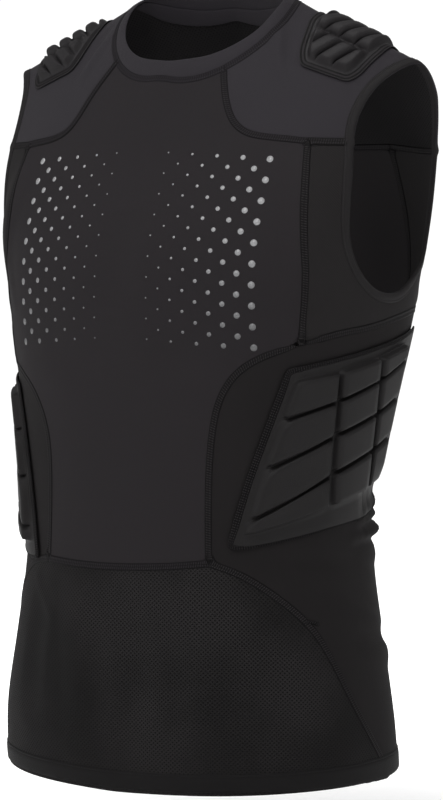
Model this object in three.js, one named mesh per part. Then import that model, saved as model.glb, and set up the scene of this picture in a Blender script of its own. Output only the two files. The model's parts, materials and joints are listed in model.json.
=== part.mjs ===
// A sleeveless padded compression shirt in its worn, filled-out form, in millimetres.
// +Z is up, +X is the wearer's left and the front faces -Y. The origin lies between the shoulders,
// level with the shoulder line at the neck, where the wearer's shoulders carry the shirt.
// Every panel is a thin wall on one smooth hollow form, cut along shared seam lines.
import * as THREE from "three";

// Driving dimensions
const CLOTH = 2; // wall of the knitted panels
const SEAM_GAP = 0.3; // open line between two panels at a seam
const PAD_REST = 0.3; // a pad's back face above its panel
const PAD_EDGE = 2; // a pad's flat sewn border
const PAD_THINNEST = 1.4; // where its panel's facets lift it
const RIB_BLOCK = 6.5; // height of the rib pads' blocks above their border
const SHOULDER_RIB = 5.5; // height of the shoulder pads' ribs above their border
const CHEST = -252; // height of the ring under the arms, where the shoulders' dome starts
const FRONT_CHEST = 161; // depth of the dome in front of the shoulder line, and behind it
const BACK_CHEST = 106;
const DOME_SQUARENESS = 2.5;
const CHEST_ROUNDING = 45; // above and below the chest ring, where the body rounds over into the dome
const DOME_RISE = 1.05; // the two powers of the shoulders' slope, seen from the side
const DOME_FALL = 0.69;
const RIGHT_RIBS_DROP = 20; // the wearer's right side hangs lower at the ribs, as worn

// Rings round the body. side is how far back the widest points lie, centre how far they are to one side.
const BODY = [
  { at: -700, half_width: 181, centre: -5, side: 4, front: 141, back: 114, squareness: 2.35 },
  { at: -640, half_width: 180, centre: -3, side: -7, front: 134, back: 116, squareness: 2.35 },
  { at: -570, half_width: 169, centre: 0, side: -11, front: 128, back: 111, squareness: 2.35 },
  { at: -500, half_width: 159, centre: 0, side: -10, front: 126, back: 106, squareness: 2.35 },
  { at: -440, half_width: 160, centre: 0, side: -6, front: 128, back: 104, squareness: 2.4 },
  { at: -370, half_width: 171, centre: 0, side: 3, front: 135, back: 105, squareness: 2.4 },
  { at: -300, half_width: 184, centre: 0, side: 12, front: 146, back: 106, squareness: 2.45 },
  {
    at: CHEST, half_width: 188, centre: 0, side: 20, front: FRONT_CHEST, back: BACK_CHEST,
    squareness: DOME_SQUARENESS,
  },
];
// The dome over the shoulders, by how much of the rise from the chest ring to the shoulder line is done.
const DOME = [
  { at: 0, half_width: 188, side: 20 },
  { at: 0.25, half_width: 203, side: 19 },
  { at: 0.5, half_width: 216, side: 15 },
  { at: 0.75, half_width: 226, side: 12 },
  { at: 1, half_width: 234, side: 10 },
];
// The shoulder line's height, by the distance from the middle.
const SHOULDER_LINE = [
  { at: 0, height: 21 },
  { at: 60, height: -6 },
  { at: 85, height: -18 },
  { at: 105, height: -28 },
  { at: 130, height: -39 },
  { at: 160, height: -52 },
  { at: 190, height: -65 },
  { at: 210, height: -74 },
  { at: 234, height: -85 },
];

// Seams and edges. left and right are the wearer's; over is the share of the dome's depth in front of
// the shoulder line (minus behind it), and turn is in degrees round from the front.
const NECK_SEAM = { middle: 3, half_width: 88, over: 0.115, depth: 0.425 };
const NECK_EDGE = { middle: 4, half_width: 78, over: 0.1225, depth: 0.3675 };
const NECK_EDGE_HEIGHT = [
  { at: 0, height: -72 },
  { at: 30, height: -66.5 },
  { at: 60, height: -48 },
  { at: 85, height: -25 },
  { at: 108, height: -12 },
  { at: 140, height: -11 },
  { at: 180, height: -13 },
];
const BAND_BULGE = 0.8; // how far the neckband's middle stands out between its edges
const TAPE = { thickness: 1, rest: 0.4, from: 100, to: 260, rows: 0.45 }; // rows of the yoke that it covers
const NECK_CORNER = { left: 37, right: -46.2 }; // angle round the neck where the yoke seams start
const YOKE_SEAM = [
  { height: -99, left: 63, right: 78 },
  { height: -113.5, left: 70, right: 84 },
  { height: -126, left: 78, right: 89 },
  { height: -134, left: 87, right: 96 },
  { height: -138, left: 99, right: 106 },
  { height: -140, left: 121, right: 123 },
  { height: -143, left: 146, right: 148 },
];
const ARMHOLE_TOP = [
  { x: 180.8, over: 0.575 },
  { x: 179.7, over: 0.5 },
  { x: 181.6, over: 0.42 },
  { x: 187, over: 0.31 },
  { x: 198, over: 0.18 },
  { x: 211, over: 0 },
  { x: 217, over: -0.12 },
  { x: 220, over: -0.25 },
  { x: 218, over: -0.4 },
  { x: 211, over: -0.57 },
];
const ARMHOLE_FOOT = [
  { turn: 54, height: -145 },
  { turn: 57, height: -180 },
  { turn: 60.5, height: -212 },
  { turn: 65.2, height: -239 },
  { turn: 70.6, height: -258 },
  { turn: 76.6, height: -268 },
  { turn: 84, height: -271 },
  { turn: 91, height: -268 },
  { turn: 98, height: -258 },
  { turn: 105, height: -248 },
  { turn: 111, height: -236 },
  { turn: 115, height: -212 },
  { turn: 114, height: -180 },
  { turn: 113, height: -145 },
];
const CHEST_UPRIGHT = [
  { x: 152, height: -192 },
  { x: 156, height: -259 },
  { x: 151, height: -313 },
];
const BACK_UPRIGHT = [
  { x: 147, height: -145 },
  { x: 151, height: -195 },
  { x: 154, height: -250 },
  { x: 155, height: -287 },
];
const UNDERARM_SEAM = [
  { turn: 63.5, height: -304 },
  { turn: 75, height: -300 },
  { turn: 97, height: -290 },
  { turn: 112, height: -286 },
];
const FRONT_SIDE_SEAM = [
  { x: 128, left: -321, right: -344 },
  { x: 114, left: -327, right: -352 },
  { x: 103, left: -338, right: -363 },
  { x: 93, left: -352, right: -377 },
  { x: 87, left: -373, right: -391 },
  { x: 83.5, left: -404, right: -412 },
  { x: 82.5, left: -445, right: -450 },
  { x: 83.5, left: -497, right: -502 },
];
const WAIST_DIP = -4; // how far the waist seam's middle lies below its corners
const SLANT_SEAM = [
  { turn: 37, height: -502 },
  { turn: 43, height: -509.5 },
  { turn: 51, height: -525 },
  { turn: 61.5, height: -547 },
  { turn: 69, height: -575 },
  { turn: 76, height: -610 },
  { turn: 83, height: -638 },
  { turn: 96, height: -680 },
];
const BACK_SIDE_SEAM = [
  { turn: 132, height: -350 },
  { turn: 136, height: -430 },
  { turn: 139, height: -550 },
];
const HEM = [
  { at: 0, height: -698 },
  { at: 30, height: -695 },
  { at: 60, height: -691 },
  { at: 96, height: -688 },
  { at: 140, height: -684 },
  { at: 180, height: -684 },
];
const HEM_SIDE_TURN = 96.5; // where the slant seams run out at the foot
const HEM_BACK_TURN = 140;

// The rib pads' upright lines, by their turn at the top and at the foot, and the heights at which the
// rows between the blocks cross them.
const RIB_LINES = [
  { line: "front edge", top_turn: 48, foot_turn: 35.5 },
  { line: "block front", top_turn: 51.7, foot_turn: 40.2 },
  { line: "first groove", top_turn: 64.3, foot_turn: 72.2 },
  { line: "second groove", top_turn: 81.5, foot_turn: 94.6 },
  { line: "block rear", top_turn: 101, foot_turn: 102 },
  { line: "rear edge", top_turn: 117, foot_turn: 113 },
];
const RIB_ROWS = [
  { row: "foot edge", heights: [-485, -486, -471, -465, -462, -452] },
  { row: "foot of blocks", heights: [-474, -473, -451, -438, -432, -425] },
  { row: "third groove", heights: [-464, -462, -422, -403, -391, -385] },
  { row: "second groove", heights: [-420, -418, -389, -372, -357, -351] },
  { row: "first groove", heights: [-378, -376, -360, -343, -324, -318] },
  { row: "top of blocks", heights: [-343, -342, -335, -324.5, -314, -308] },
  { row: "top edge", heights: [-333, -331, -324, -315, -306, -299] },
];
// The shoulder pads: edges across the shoulder at each row, from the front edge to the back edge.
const SHOULDER_ROWS = [
  { row: "front edge", over: 0.345, inner: 119, outer: 164 },
  { row: "front ribs start", over: 0.285, inner: 114, outer: 172 },
  { row: "front ribs end", over: 0.115, inner: 109, outer: 181 },
  { row: "back ribs start", over: -0.115, inner: 109, outer: 185 },
  { row: "back ribs end", over: -0.36, inner: 115, outer: 175 },
  { row: "back edge", over: -0.43, inner: 120, outer: 166 },
];
const SHOULDER_BORDER = 8;
const SHOULDER_RIB_COUNT = 5;

// How finely the seams are divided
const PARTS = {
  neck_front: 14, yoke_seam: 7, yoke_end: 3, armhole_front: 9, armhole_back: 6, back_yoke: 14, upright: 7,
  underarm: 12, front_side: 8, slant: 10, hem_end: 6, band: 2,
};

// Materials
const cloth = (color, roughness) => new THREE.MeshStandardMaterial({ color, roughness, metalness: 0 });
const SMOOTH_KNIT = cloth("#2b2a2d", 0.75);
const FRONT_KNIT = cloth("#262629", 0.8);
const SIDE_KNIT = cloth("#222223", 0.85);
const HEM_MESH = cloth("#28282a", 0.9);
const PAD_SKIN = cloth("#242325", 0.7);

// Numbers
const degrees = (radians) => (radians * 180) / Math.PI;
const radians = (deg) => (deg * Math.PI) / 180;
const mix = (a, b, share) => a + (b - a) * share;
const clamp = (value, low, high) => Math.min(Math.max(value, low), high);

// A smooth curve through a table's rows, read at one place.
function smooth(rows, key, place) {
  const at = clamp(place, rows[0].at, rows[rows.length - 1].at);
  let i = 0;
  while (i < rows.length - 2 && at > rows[i + 1].at) i += 1;
  const slope = (k) => {
    const before = rows[Math.max(k - 1, 0)];
    const after = rows[Math.min(k + 1, rows.length - 1)];
    return (after[key] - before[key]) / (after.at - before.at);
  };
  const span = rows[i + 1].at - rows[i].at;
  const t = (at - rows[i].at) / span;
  const t2 = t * t;
  const t3 = t2 * t;
  return (
    (2 * t3 - 3 * t2 + 1) * rows[i][key] + (t3 - 2 * t2 + t) * slope(i) * span +
    (3 * t2 - 2 * t3) * rows[i + 1][key] + (t3 - t2) * slope(i + 1) * span
  );
}

// The form: one ring, at any height
function ringAt(height) {
  const away = height - CHEST;
  if (Math.abs(away) >= CHEST_ROUNDING) return plainRing(height);
  const low = plainRing(CHEST - CHEST_ROUNDING);
  const lower = plainRing(CHEST - CHEST_ROUNDING - 1);
  const high = plainRing(CHEST + CHEST_ROUNDING);
  const higher = plainRing(CHEST + CHEST_ROUNDING + 1);
  const span = 2 * CHEST_ROUNDING;
  const t = (away + CHEST_ROUNDING) / span;
  const t2 = t * t;
  const t3 = t2 * t;
  const ring = {};
  for (const key of Object.keys(low))
    ring[key] =
      (2 * t3 - 3 * t2 + 1) * low[key] + (t3 - 2 * t2 + t) * (low[key] - lower[key]) * span +
      (3 * t2 - 2 * t3) * high[key] + (t3 - t2) * (higher[key] - high[key]) * span;
  return ring;
}
function plainRing(height) {
  const z = Math.min(height, CHEST);
  const ring = {};
  for (const key of ["half_width", "centre", "side", "front", "back", "squareness"])
    ring[key] = smooth(BODY, key, z);
  if (height > CHEST) {
    const rise = clamp(1 - height / CHEST, 0, 1);
    const fall = fallAt(rise);
    ring.half_width = smooth(DOME, "half_width", rise);
    ring.side = smooth(DOME, "side", rise);
    ring.front = FRONT_CHEST * fall;
    ring.back = BACK_CHEST * fall;
  }
  return ring;
}
const fallAt = (rise) => (1 - rise ** DOME_RISE) ** DOME_FALL;
const riseAt = (fall) => (1 - Math.min(Math.abs(fall), 1) ** (1 / DOME_FALL)) ** (1 / DOME_RISE);
const shoulderHeight = (x) => smooth(SHOULDER_LINE, "height", Math.abs(x));
const domeHeight = (x, rise) => CHEST + (shoulderHeight(x) - CHEST) * rise;
const depthLeft = (share, squareness) =>
  (1 - Math.min(Math.abs(share), 1) ** squareness) ** (1 / squareness);

// Three ways to name a point of the form. Each one makes the point and reads it back.
const around = {
  at(turn, height) {
    const ring = ringAt(height);
    const s = Math.sin(radians(turn));
    const c = Math.cos(radians(turn));
    const power = ring.squareness;
    const reach = (Math.abs(s) ** power + Math.abs(c) ** power) ** (-1 / power);
    const x = ring.half_width * reach * s;
    const y = ring.side - (c > 0 ? ring.front : ring.back) * reach * c;
    const z = height > CHEST ? domeHeight(x, 1 - height / CHEST) : height;
    return new THREE.Vector3(x + ring.centre, y, z);
  },
  read(p) {
    const height = p.z > CHEST ? CHEST * (1 - domeRise(p)) : p.z;
    const ring = ringAt(height);
    const ahead = ring.side - p.y;
    const depth = ahead > 0 ? ring.front : ring.back;
    const turn = Math.atan2((p.x - ring.centre) / ring.half_width, ahead / depth);
    return [degrees(turn), height];
  },
};
const over = {
  at(x, fall) {
    const rise = riseAt(fall);
    const half = smooth(DOME, "half_width", rise);
    const depth = (fall > 0 ? FRONT_CHEST : BACK_CHEST) * fall * depthLeft(x / half, DOME_SQUARENESS);
    return new THREE.Vector3(x, smooth(DOME, "side", rise) - depth, domeHeight(x, rise));
  },
  read(p) {
    const rise = domeRise(p);
    const ahead = smooth(DOME, "side", rise) - p.y;
    return [p.x, Math.sign(ahead) * fallAt(rise)];
  },
};
// Seen straight from the front (side 1) or from behind (side -1): distance from the middle, height.
const facing = (side) => ({
  at(x, z) {
    const rise = domeRise({ x, z });
    const ring = ringAt(z > CHEST ? CHEST * (1 - rise) : z);
    const full = side > 0 ? ring.front : ring.back;
    const depth = full * depthLeft((x - ring.centre) / ring.half_width, ring.squareness);
    return new THREE.Vector3(x, ring.side - side * depth, z);
  },
  read: (p) => [p.x, p.z],
});
const seenFront = facing(1);
const seenBack = facing(-1);

function domeRise(p) {
  return clamp((p.z - CHEST) / (shoulderHeight(p.x) - CHEST), 0, 1);
}

// The form's outward direction at a point
const NEAR_SHOULDER = 0.5;
function outward(p) {
  const high = p.z > CHEST && Math.abs(over.read(p)[1]) < NEAR_SHOULDER;
  const space = high ? over : around;
  const [u, v] = space.read(p);
  const du = high ? 1 : 0.6;
  const dv = high ? 0.01 : 1.5;
  const across = space.at(u + du, v).sub(space.at(u - du, v));
  const along = space.at(u, v + dv).sub(space.at(u, v - dv));
  const n = across.cross(along).normalize();
  const inside = new THREE.Vector3(0, 0, Math.min(p.z, CHEST));
  return n.dot(p.clone().sub(inside)) < 0 ? n.negate() : n;
}

// Curves: a smooth line through points, divided evenly
function line(points, parts) {
  if (parts === 1) return [points[0], points[points.length - 1]];
  const curve = new THREE.CatmullRomCurve3(points, false, "centripetal");
  curve.arcLengthDivisions = 400;
  return curve.getSpacedPoints(parts);
}
// The same, with each point brought back to the form as its space names it
function lineOn(space, points, parts) {
  const ends = [points[0], points[points.length - 1]];
  return line(points, parts).map((p, i) => {
    if (i === 0) return ends[0];
    if (i === parts) return ends[1];
    return space.at(...space.read(p));
  });
}
const joined = (...curves) => curves.flatMap((curve, i) => (i ? curve.slice(1) : curve));
const backwards = (curve) => [...curve].reverse();

// Sides: 1 is the wearer's left, -1 the wearer's right
const sideName = (side) => (side > 0 ? "left" : "right");
const ribsDrop = (side) => (side > 0 ? 0 : -RIGHT_RIBS_DROP);
const aroundOn = (side, turn, height) => around.at(side * turn, height);

function neckPoint(ring, angle) {
  const x = ring.middle + ring.half_width * Math.sin(radians(angle));
  return over.at(x, ring.over + ring.depth * Math.cos(radians(angle)));
}
function neckAngles() {
  const { left, right } = NECK_CORNER;
  const crest = degrees(Math.acos(-NECK_SEAM.over / NECK_SEAM.depth)); // where it crosses the shoulder line
  const behind = PARTS.back_yoke + 2 * (PARTS.yoke_end + PARTS.armhole_back);
  const steps = (from, to, parts) => Array.from({ length: parts + 1 }, (_, i) => mix(from, to, i / parts));
  return {
    front: steps(right, left, PARTS.neck_front),
    rear: joined(
      steps(left, crest, PARTS.armhole_front),
      steps(crest, 360 - crest, behind),
      steps(360 - crest, 360 + right, PARTS.armhole_front),
    ),
  };
}

// Every seam is worked out once and used by the panels on both sides of it
function seamsOf(side) {
  const key = sideName(side);
  const neck = neckPoint(NECK_SEAM, NECK_CORNER[key]);
  const yoke = YOKE_SEAM.map((row) => seenFront.at(side * row[key], row.height));
  const yokeUpright = yoke[yoke.length - 1];
  const armTop = ARMHOLE_TOP.map((row) => over.at(side * row.x, row.over));
  const crest = ARMHOLE_TOP.findIndex((row) => row.over === 0);
  const armFront = armTop[0];
  const armBack = armTop[armTop.length - 1];
  const junction = CHEST_UPRIGHT[CHEST_UPRIGHT.length - 1];
  const ribs = seenFront.at(side * junction.x, junction.height + ribsDrop(side));
  const chest = CHEST_UPRIGHT.slice(0, -1).map((row) => seenFront.at(side * row.x, row.height));
  const backRows = BACK_UPRIGHT.map((row) => seenBack.at(side * row.x, row.height));
  const backJunction = backRows[backRows.length - 1];
  const lowered = (row, share) => aroundOn(side, row.turn, row.height + ribsDrop(side) * share);
  const frontSide = FRONT_SIDE_SEAM.map((row) => seenFront.at(side * row.x, row[key]));
  const waistCorner = frontSide[frontSide.length - 1];
  const slant = SLANT_SEAM.map((row) => aroundOn(side, row.turn, row.height));
  const slantEnd = slant[slant.length - 1];
  const hemSide = hemPoint(side * HEM_SIDE_TURN);
  const hemBack = hemPoint(side * HEM_BACK_TURN);
  return {
    yoke: lineOn(seenFront, [neck, ...yoke], PARTS.yoke_seam),
    yokeEnd: lineOn(around, [yokeUpright, armFront], PARTS.yoke_end),
    armholeFront: lineOn(over, armTop.slice(0, crest + 1), PARTS.armhole_front),
    armholeBack: lineOn(over, armTop.slice(crest), PARTS.armhole_back),
    armholeFoot: lineOn(
      around,
      [armFront, ...ARMHOLE_FOOT.map((row) => aroundOn(side, row.turn, row.height)), armBack],
      2 * PARTS.upright + PARTS.underarm,
    ),
    upright: lineOn(seenFront, [yokeUpright, ...chest, ribs], PARTS.upright),
    underarm: lineOn(
      around,
      [ribs, ...UNDERARM_SEAM.map((row, i) => lowered(row, 0.8 - 0.2 * i)), backJunction],
      PARTS.underarm,
    ),
    backUpright: lineOn(seenBack, backRows, PARTS.upright),
    backYokeEnd: lineOn(around, [armBack, backRows[0]], PARTS.yoke_end),
    frontSide: lineOn(around, [ribs, ...frontSide], PARTS.front_side),
    slant: lineOn(around, [waistCorner, ...slant], PARTS.slant),
    hemEnd: lineOn(around, [slantEnd, hemSide], PARTS.hem_end),
    backSide: lineOn(
      around,
      [backJunction, ...BACK_SIDE_SEAM.map((row) => aroundOn(side, row.turn, row.height)), hemBack],
      PARTS.front_side + PARTS.slant + 1,
    ),
    hemUnderSide: hemLine(side * HEM_SIDE_TURN, side * HEM_BACK_TURN, PARTS.underarm),
  };
}
function hemPoint(turn) {
  return around.at(turn, smooth(HEM, "height", Math.min(Math.abs(turn), 360 - Math.abs(turn))));
}
function hemLine(from, to, parts) {
  return Array.from({ length: parts + 1 }, (_, i) => hemPoint(mix(from, to, i / parts)));
}

// A grid of points between four edges, rows from the bottom edge up to the top edge.
// fadeSides and fadeEnds say how fast the side edges' and the end edges' own bends die away inwards.
function gridBetween(space, { bottom, top, left, right, fadeSides = 1, fadeEnds = 1 }) {
  const columns = bottom.length - 1;
  const rows = left.length - 1;
  const unwrapped = (points, first) => {
    let last = first;
    return points.map((p) => {
      const [u, v] = space.read(p);
      const turned = space === around ? u + 360 * Math.round((last - u) / 360) : u;
      last = turned;
      return new THREE.Vector2(turned, v);
    });
  };
  const start = space.read(bottom[0])[0];
  const b = unwrapped(bottom, start);
  const l = unwrapped(left, start);
  const t = unwrapped(top, l[rows].x);
  const r = unwrapped(right, b[columns].x);
  const grid = [];
  for (let j = 0; j <= rows; j += 1) {
    const v = j / rows;
    const row = [];
    for (let i = 0; i <= columns; i += 1) {
      const u = i / columns;
      const corner = (a, z) => a.clone().lerp(z, v);
      const endBend = (edge, share) =>
        edge[i].clone().sub(edge[0].clone().lerp(edge[columns], u)).multiplyScalar(share ** fadeEnds);
      const sideBend = (edge, from, to, share) =>
        edge[j].clone().sub(corner(from, to)).multiplyScalar(share ** fadeSides);
      const p = corner(b[0], t[0]).lerp(corner(b[columns], t[columns]), u);
      p.add(endBend(b, 1 - v)).add(endBend(t, v));
      p.add(sideBend(l, b[0], t[0], 1 - u)).add(sideBend(r, b[columns], t[columns], u));
      row.push(space.at(p.x, p.y));
    }
    grid.push(row);
  }
  for (let i = 0; i <= columns; i += 1) {
    grid[0][i] = bottom[i].clone();
    grid[rows][i] = top[i].clone();
  }
  for (let j = 0; j <= rows; j += 1) {
    grid[j][0] = left[j].clone();
    grid[j][columns] = right[j].clone();
  }
  return grid;
}

// Draws a grid's edges in by half a seam gap. A closed grid, a band, has only its first and last
// rows drawn in.
function drawnIn(grid, directions, closed = false) {
  const rows = grid.length - 1;
  const columns = grid[0].length - 1;
  const shift = grid.map((row) => row.map(() => new THREE.Vector3()));
  const column = (i) => (closed ? (i + columns) % columns : clamp(i, 0, columns));
  for (let i = 0; i <= columns; i += 1)
    for (const [j, turn] of [[0, 1], [rows, -1]]) {
      const tangent = grid[j][column(i + 1)].clone().sub(grid[j][column(i - 1)]);
      const inwards = directions[j][i].clone().cross(tangent).normalize();
      shift[j][i].addScaledVector(inwards, (turn * SEAM_GAP) / 2);
    }
  if (!closed)
    for (let j = 0; j <= rows; j += 1)
      for (const [i, turn] of [[0, -1], [columns, 1]]) {
        const tangent = grid[Math.min(j + 1, rows)][i].clone().sub(grid[Math.max(j - 1, 0)][i]);
        const inwards = directions[j][i].clone().cross(tangent).normalize();
        shift[j][i].addScaledVector(inwards, (turn * SEAM_GAP) / 2);
      }
  return grid.map((row, j) => row.map((p, i) => p.clone().add(shift[j][i])));
}

// A closed wall on a grid: its outer face stands out by outer(j, i), its back face by inner(j, i).
function wall(name, grid, { inner, outer, material, directions, closed = false, seams = true }) {
  const sewn = seams ? drawnIn(grid, directions, closed) : grid;
  const rows = grid.length - 1;
  const columns = grid[0].length - 1;
  const width = closed ? columns : columns + 1;
  const positions = [];
  const lay = (offset) =>
    sewn.forEach((row, j) =>
      row.slice(0, width).forEach((p, i) => {
        const q = p.clone().addScaledVector(directions[j][i], offset(j, i));
        positions.push(q.x, q.y, q.z);
      }),
    );
  lay(outer);
  lay(inner);
  const count = (rows + 1) * width;
  const front = (j, i) => j * width + (closed ? (i + columns) % columns : i);
  const back = (j, i) => count + front(j, i);
  const index = [];
  const quad = (a, b, c, d) => index.push(a, b, c, a, c, d);
  for (let j = 0; j < rows; j += 1)
    for (let i = 0; i < columns; i += 1) {
      quad(front(j, i), front(j, i + 1), front(j + 1, i + 1), front(j + 1, i));
      quad(back(j + 1, i), back(j + 1, i + 1), back(j, i + 1), back(j, i));
    }
  for (let i = 0; i < columns; i += 1) {
    quad(back(0, i), back(0, i + 1), front(0, i + 1), front(0, i));
    quad(front(rows, i), front(rows, i + 1), back(rows, i + 1), back(rows, i));
  }
  if (!closed)
    for (let j = 0; j < rows; j += 1) {
      quad(front(j, 0), front(j + 1, 0), back(j + 1, 0), back(j, 0));
      quad(back(j, columns), back(j + 1, columns), front(j + 1, columns), front(j, columns));
    }
  const geometry = new THREE.BufferGeometry();
  geometry.setAttribute("position", new THREE.Float32BufferAttribute(positions, 3));
  geometry.setIndex(index);
  geometry.computeVertexNormals();
  const mesh = new THREE.Mesh(geometry, material);
  mesh.name = name;
  return mesh;
}
function clothWall(name, grid, options) {
  const directions = grid.map((row) => row.map(outward));
  return wall(name, grid, { directions, inner: () => -CLOTH, outer: () => 0, ...options });
}
const panel = (name, space, edges, material) =>
  clothWall(name, gridBetween(space, edges), { material });

// On the wearer's right the turn grows towards the front, so the two side edges change places
function sidePanel(name, side, edges, material) {
  if (side > 0) return panel(name, around, edges, material);
  const { bottom, top, left, right, ...fades } = edges;
  const mirrored = { bottom: backwards(bottom), top: backwards(top), left: right, right: left, ...fades };
  return panel(name, around, mirrored, material);
}

// Panels
function frontCenter(left, right, neckFront, waist) {
  const edge = (seams) => backwards(joined(seams.yoke, seams.upright, seams.frontSide));
  return panel(
    "front_center",
    seenFront,
    { bottom: waist, top: neckFront, left: edge(right), right: edge(left), fadeEnds: 6 },
    FRONT_KNIT,
  );
}
function frontHemPanel(left, right, waist) {
  const columns = 2 * PARTS.slant + PARTS.neck_front;
  const edges = {
    bottom: hemLine(-HEM_SIDE_TURN, HEM_SIDE_TURN, columns),
    top: joined(backwards(right.slant), waist, left.slant),
    left: backwards(right.hemEnd),
    right: backwards(left.hemEnd),
  };
  return panel("front_hem_panel", around, edges, HEM_MESH);
}
function yokeGridOver(left, right, neckBack) {
  const outerEdge = joined(
    left.armholeFront, left.armholeBack, left.backYokeEnd, backYokeSeam(left, right),
    backwards(right.backYokeEnd), backwards(right.armholeBack), backwards(right.armholeFront),
  );
  const end = (seams) => joined(backwards(seams.yokeEnd), backwards(seams.yoke));
  const edges = { bottom: outerEdge, top: neckBack, left: end(left), right: end(right) };
  return gridBetween(over, { ...edges, fadeSides: 9 });
}
function backYokeSeam(left, right) {
  const [from, to] = [left.backUpright[0], right.backUpright[0]];
  return Array.from({ length: PARTS.back_yoke + 1 }, (_, i) => {
    const share = i / PARTS.back_yoke;
    if (share === 0) return from;
    if (share === 1) return to;
    return seenBack.at(mix(from.x, to.x, share), mix(from.z, to.z, share));
  });
}
function backPanel(left, right) {
  const edge = (seams) => joined(backwards(seams.backSide), backwards(seams.backUpright));
  const edges = {
    bottom: hemLine(HEM_BACK_TURN, 360 - HEM_BACK_TURN, PARTS.back_yoke),
    top: backYokeSeam(left, right),
    left: edge(left),
    right: edge(right),
  };
  return panel("back_panel", seenBack, edges, FRONT_KNIT);
}
function chestSide(side, seams) {
  const edges = {
    bottom: joined(seams.upright, seams.underarm, backwards(seams.backUpright)),
    top: seams.armholeFoot,
    left: seams.yokeEnd,
    right: backwards(seams.backYokeEnd),
  };
  return sidePanel(`chest_side_${sideName(side)}`, side, edges, SIDE_KNIT);
}
function ribSidePanel(side, seams) {
  const hemEnd = [seams.hemEnd[PARTS.hem_end], seams.hemEnd[0]];
  const edges = {
    bottom: seams.hemUnderSide,
    top: seams.underarm,
    left: joined(hemEnd, backwards(seams.slant), backwards(seams.frontSide)),
    right: backwards(seams.backSide),
  };
  return sidePanel(`side_panel_${sideName(side)}`, side, edges, SIDE_KNIT);
}
// The neckband's grid and its own outward directions, from the neck seam up to its free edge
function neckbandGrid(neckAngle) {
  const seam = neckAngle.map((angle) => neckPoint(NECK_SEAM, angle));
  const edge = neckAngle.map((angle) => {
    const p = neckPoint(NECK_EDGE, angle);
    const fromFront = Math.min(Math.abs(angle), 360 - Math.abs(angle));
    return new THREE.Vector3(p.x, p.y, smooth(NECK_EDGE_HEIGHT, "height", fromFront));
  });
  const turns = neckAngle.length - 1;
  const own = seam.map((p, i) => {
    const along = seam[(i + 1) % turns].clone().sub(seam[(i - 1 + turns) % turns]);
    return along.cross(edge[i].clone().sub(p)).normalize();
  });
  const shares = Array.from({ length: PARTS.band + 1 }, (_, j) => j / PARTS.band);
  const directions = shares.map((share) => seam.map((p, i) => outward(p).lerp(own[i], share).normalize()));
  const grid = shares.map((share, j) =>
    seam.map((p, i) => {
      const bulge = BAND_BULGE * 4 * share * (1 - share);
      return p.clone().lerp(edge[i], share).addScaledVector(directions[j][i], bulge);
    }),
  );
  return { grid, directions };
}
// The tape lies inside the back of the neck, from the yoke over the neck seam onto the neckband
function neckTape(neckAngle, band, yokeGrid) {
  const first = neckAngle.findIndex((angle) => angle >= TAPE.from);
  const last = neckAngle.findIndex((angle) => angle > TAPE.to);
  const start = PARTS.neck_front; // the yoke's columns begin at the neckband's corner column
  const top = yokeGrid.length - 1;
  const rows = [[], [], []];
  const directions = [[], [], []];
  for (let i = first; i < last; i += 1) {
    const n = band.directions[0][i];
    const seam = band.grid[0][i];
    const below = yokeGrid[top - 1][i - start];
    const share = 2 * TAPE.rows;
    rows[0].push(seam.clone().lerp(below, TAPE.rows));
    rows[1].push(seam.clone());
    rows[2].push(seam.clone().lerp(band.grid[1][i], share));
    directions[0].push(n.clone().lerp(outward(below), TAPE.rows).normalize());
    directions[1].push(n);
    directions[2].push(n.clone().lerp(band.directions[1][i], share).normalize());
  }
  return wall("neck_tape", rows, {
    directions,
    outer: () => -CLOTH - TAPE.rest,
    inner: () => -CLOTH - TAPE.rest - TAPE.thickness,
    material: SMOOTH_KNIT,
    seams: false,
  });
}

// Pads. A pad's back face lies on its panel's own facets: each of its points is raised until the
// flat faces round it clear the panel by the rest gap.
const PROBE = 15;
function restOn(panelMesh, grid, directions) {
  const rest = grid.map((row) => row.map(() => PAD_REST));
  const ray = new THREE.Raycaster();
  const backPoint = ([j, i]) => grid[j][i].clone().addScaledVector(directions[j][i], rest[j][i]);
  const shares = [
    [1, 0, 0], [0.5, 0.5, 0], [0.5, 0, 0.5], [0, 0.5, 0.5], [0.34, 0.33, 0.33], [0.7, 0.15, 0.15],
    [0.15, 0.7, 0.15], [0.15, 0.15, 0.7], [0.75, 0.25, 0], [0.25, 0.75, 0], [0, 0.75, 0.25], [0, 0.25, 0.75],
  ];
  const halves = (j, i) => [
    [[j, i], [j, i + 1], [j + 1, i + 1]],
    [[j, i], [j + 1, i + 1], [j + 1, i]],
  ];
  for (let round = 0; round < 3; round += 1)
    for (let j = 0; j < grid.length - 1; j += 1)
      for (let i = 0; i < grid[0].length - 1; i += 1)
        for (const corners of halves(j, i)) {
          const n = directions[j][i];
          let short = 0;
          for (const share of shares) {
            const p = new THREE.Vector3();
            corners.forEach((corner, k) => p.addScaledVector(backPoint(corner), share[k]));
            ray.set(p.clone().addScaledVector(n, PROBE), n.clone().negate());
            const [hit] = ray.intersectObject(panelMesh);
            if (hit) short = Math.max(short, PAD_REST - (hit.distance - PROBE));
          }
          for (const [b, a] of corners) rest[b][a] += short;
        }
  return rest;
}
function pad(name, panelMesh, grid, relief) {
  const directions = grid.map((row) => row.map(outward));
  const rest = restOn(panelMesh, grid, directions);
  return wall(name, grid, {
    directions,
    inner: (j, i) => rest[j][i],
    outer: (j, i) => Math.max(PAD_REST + PAD_EDGE, rest[j][i] + PAD_THINNEST) + relief(j, i),
    material: PAD_SKIN,
    seams: false,
  });
}

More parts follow.
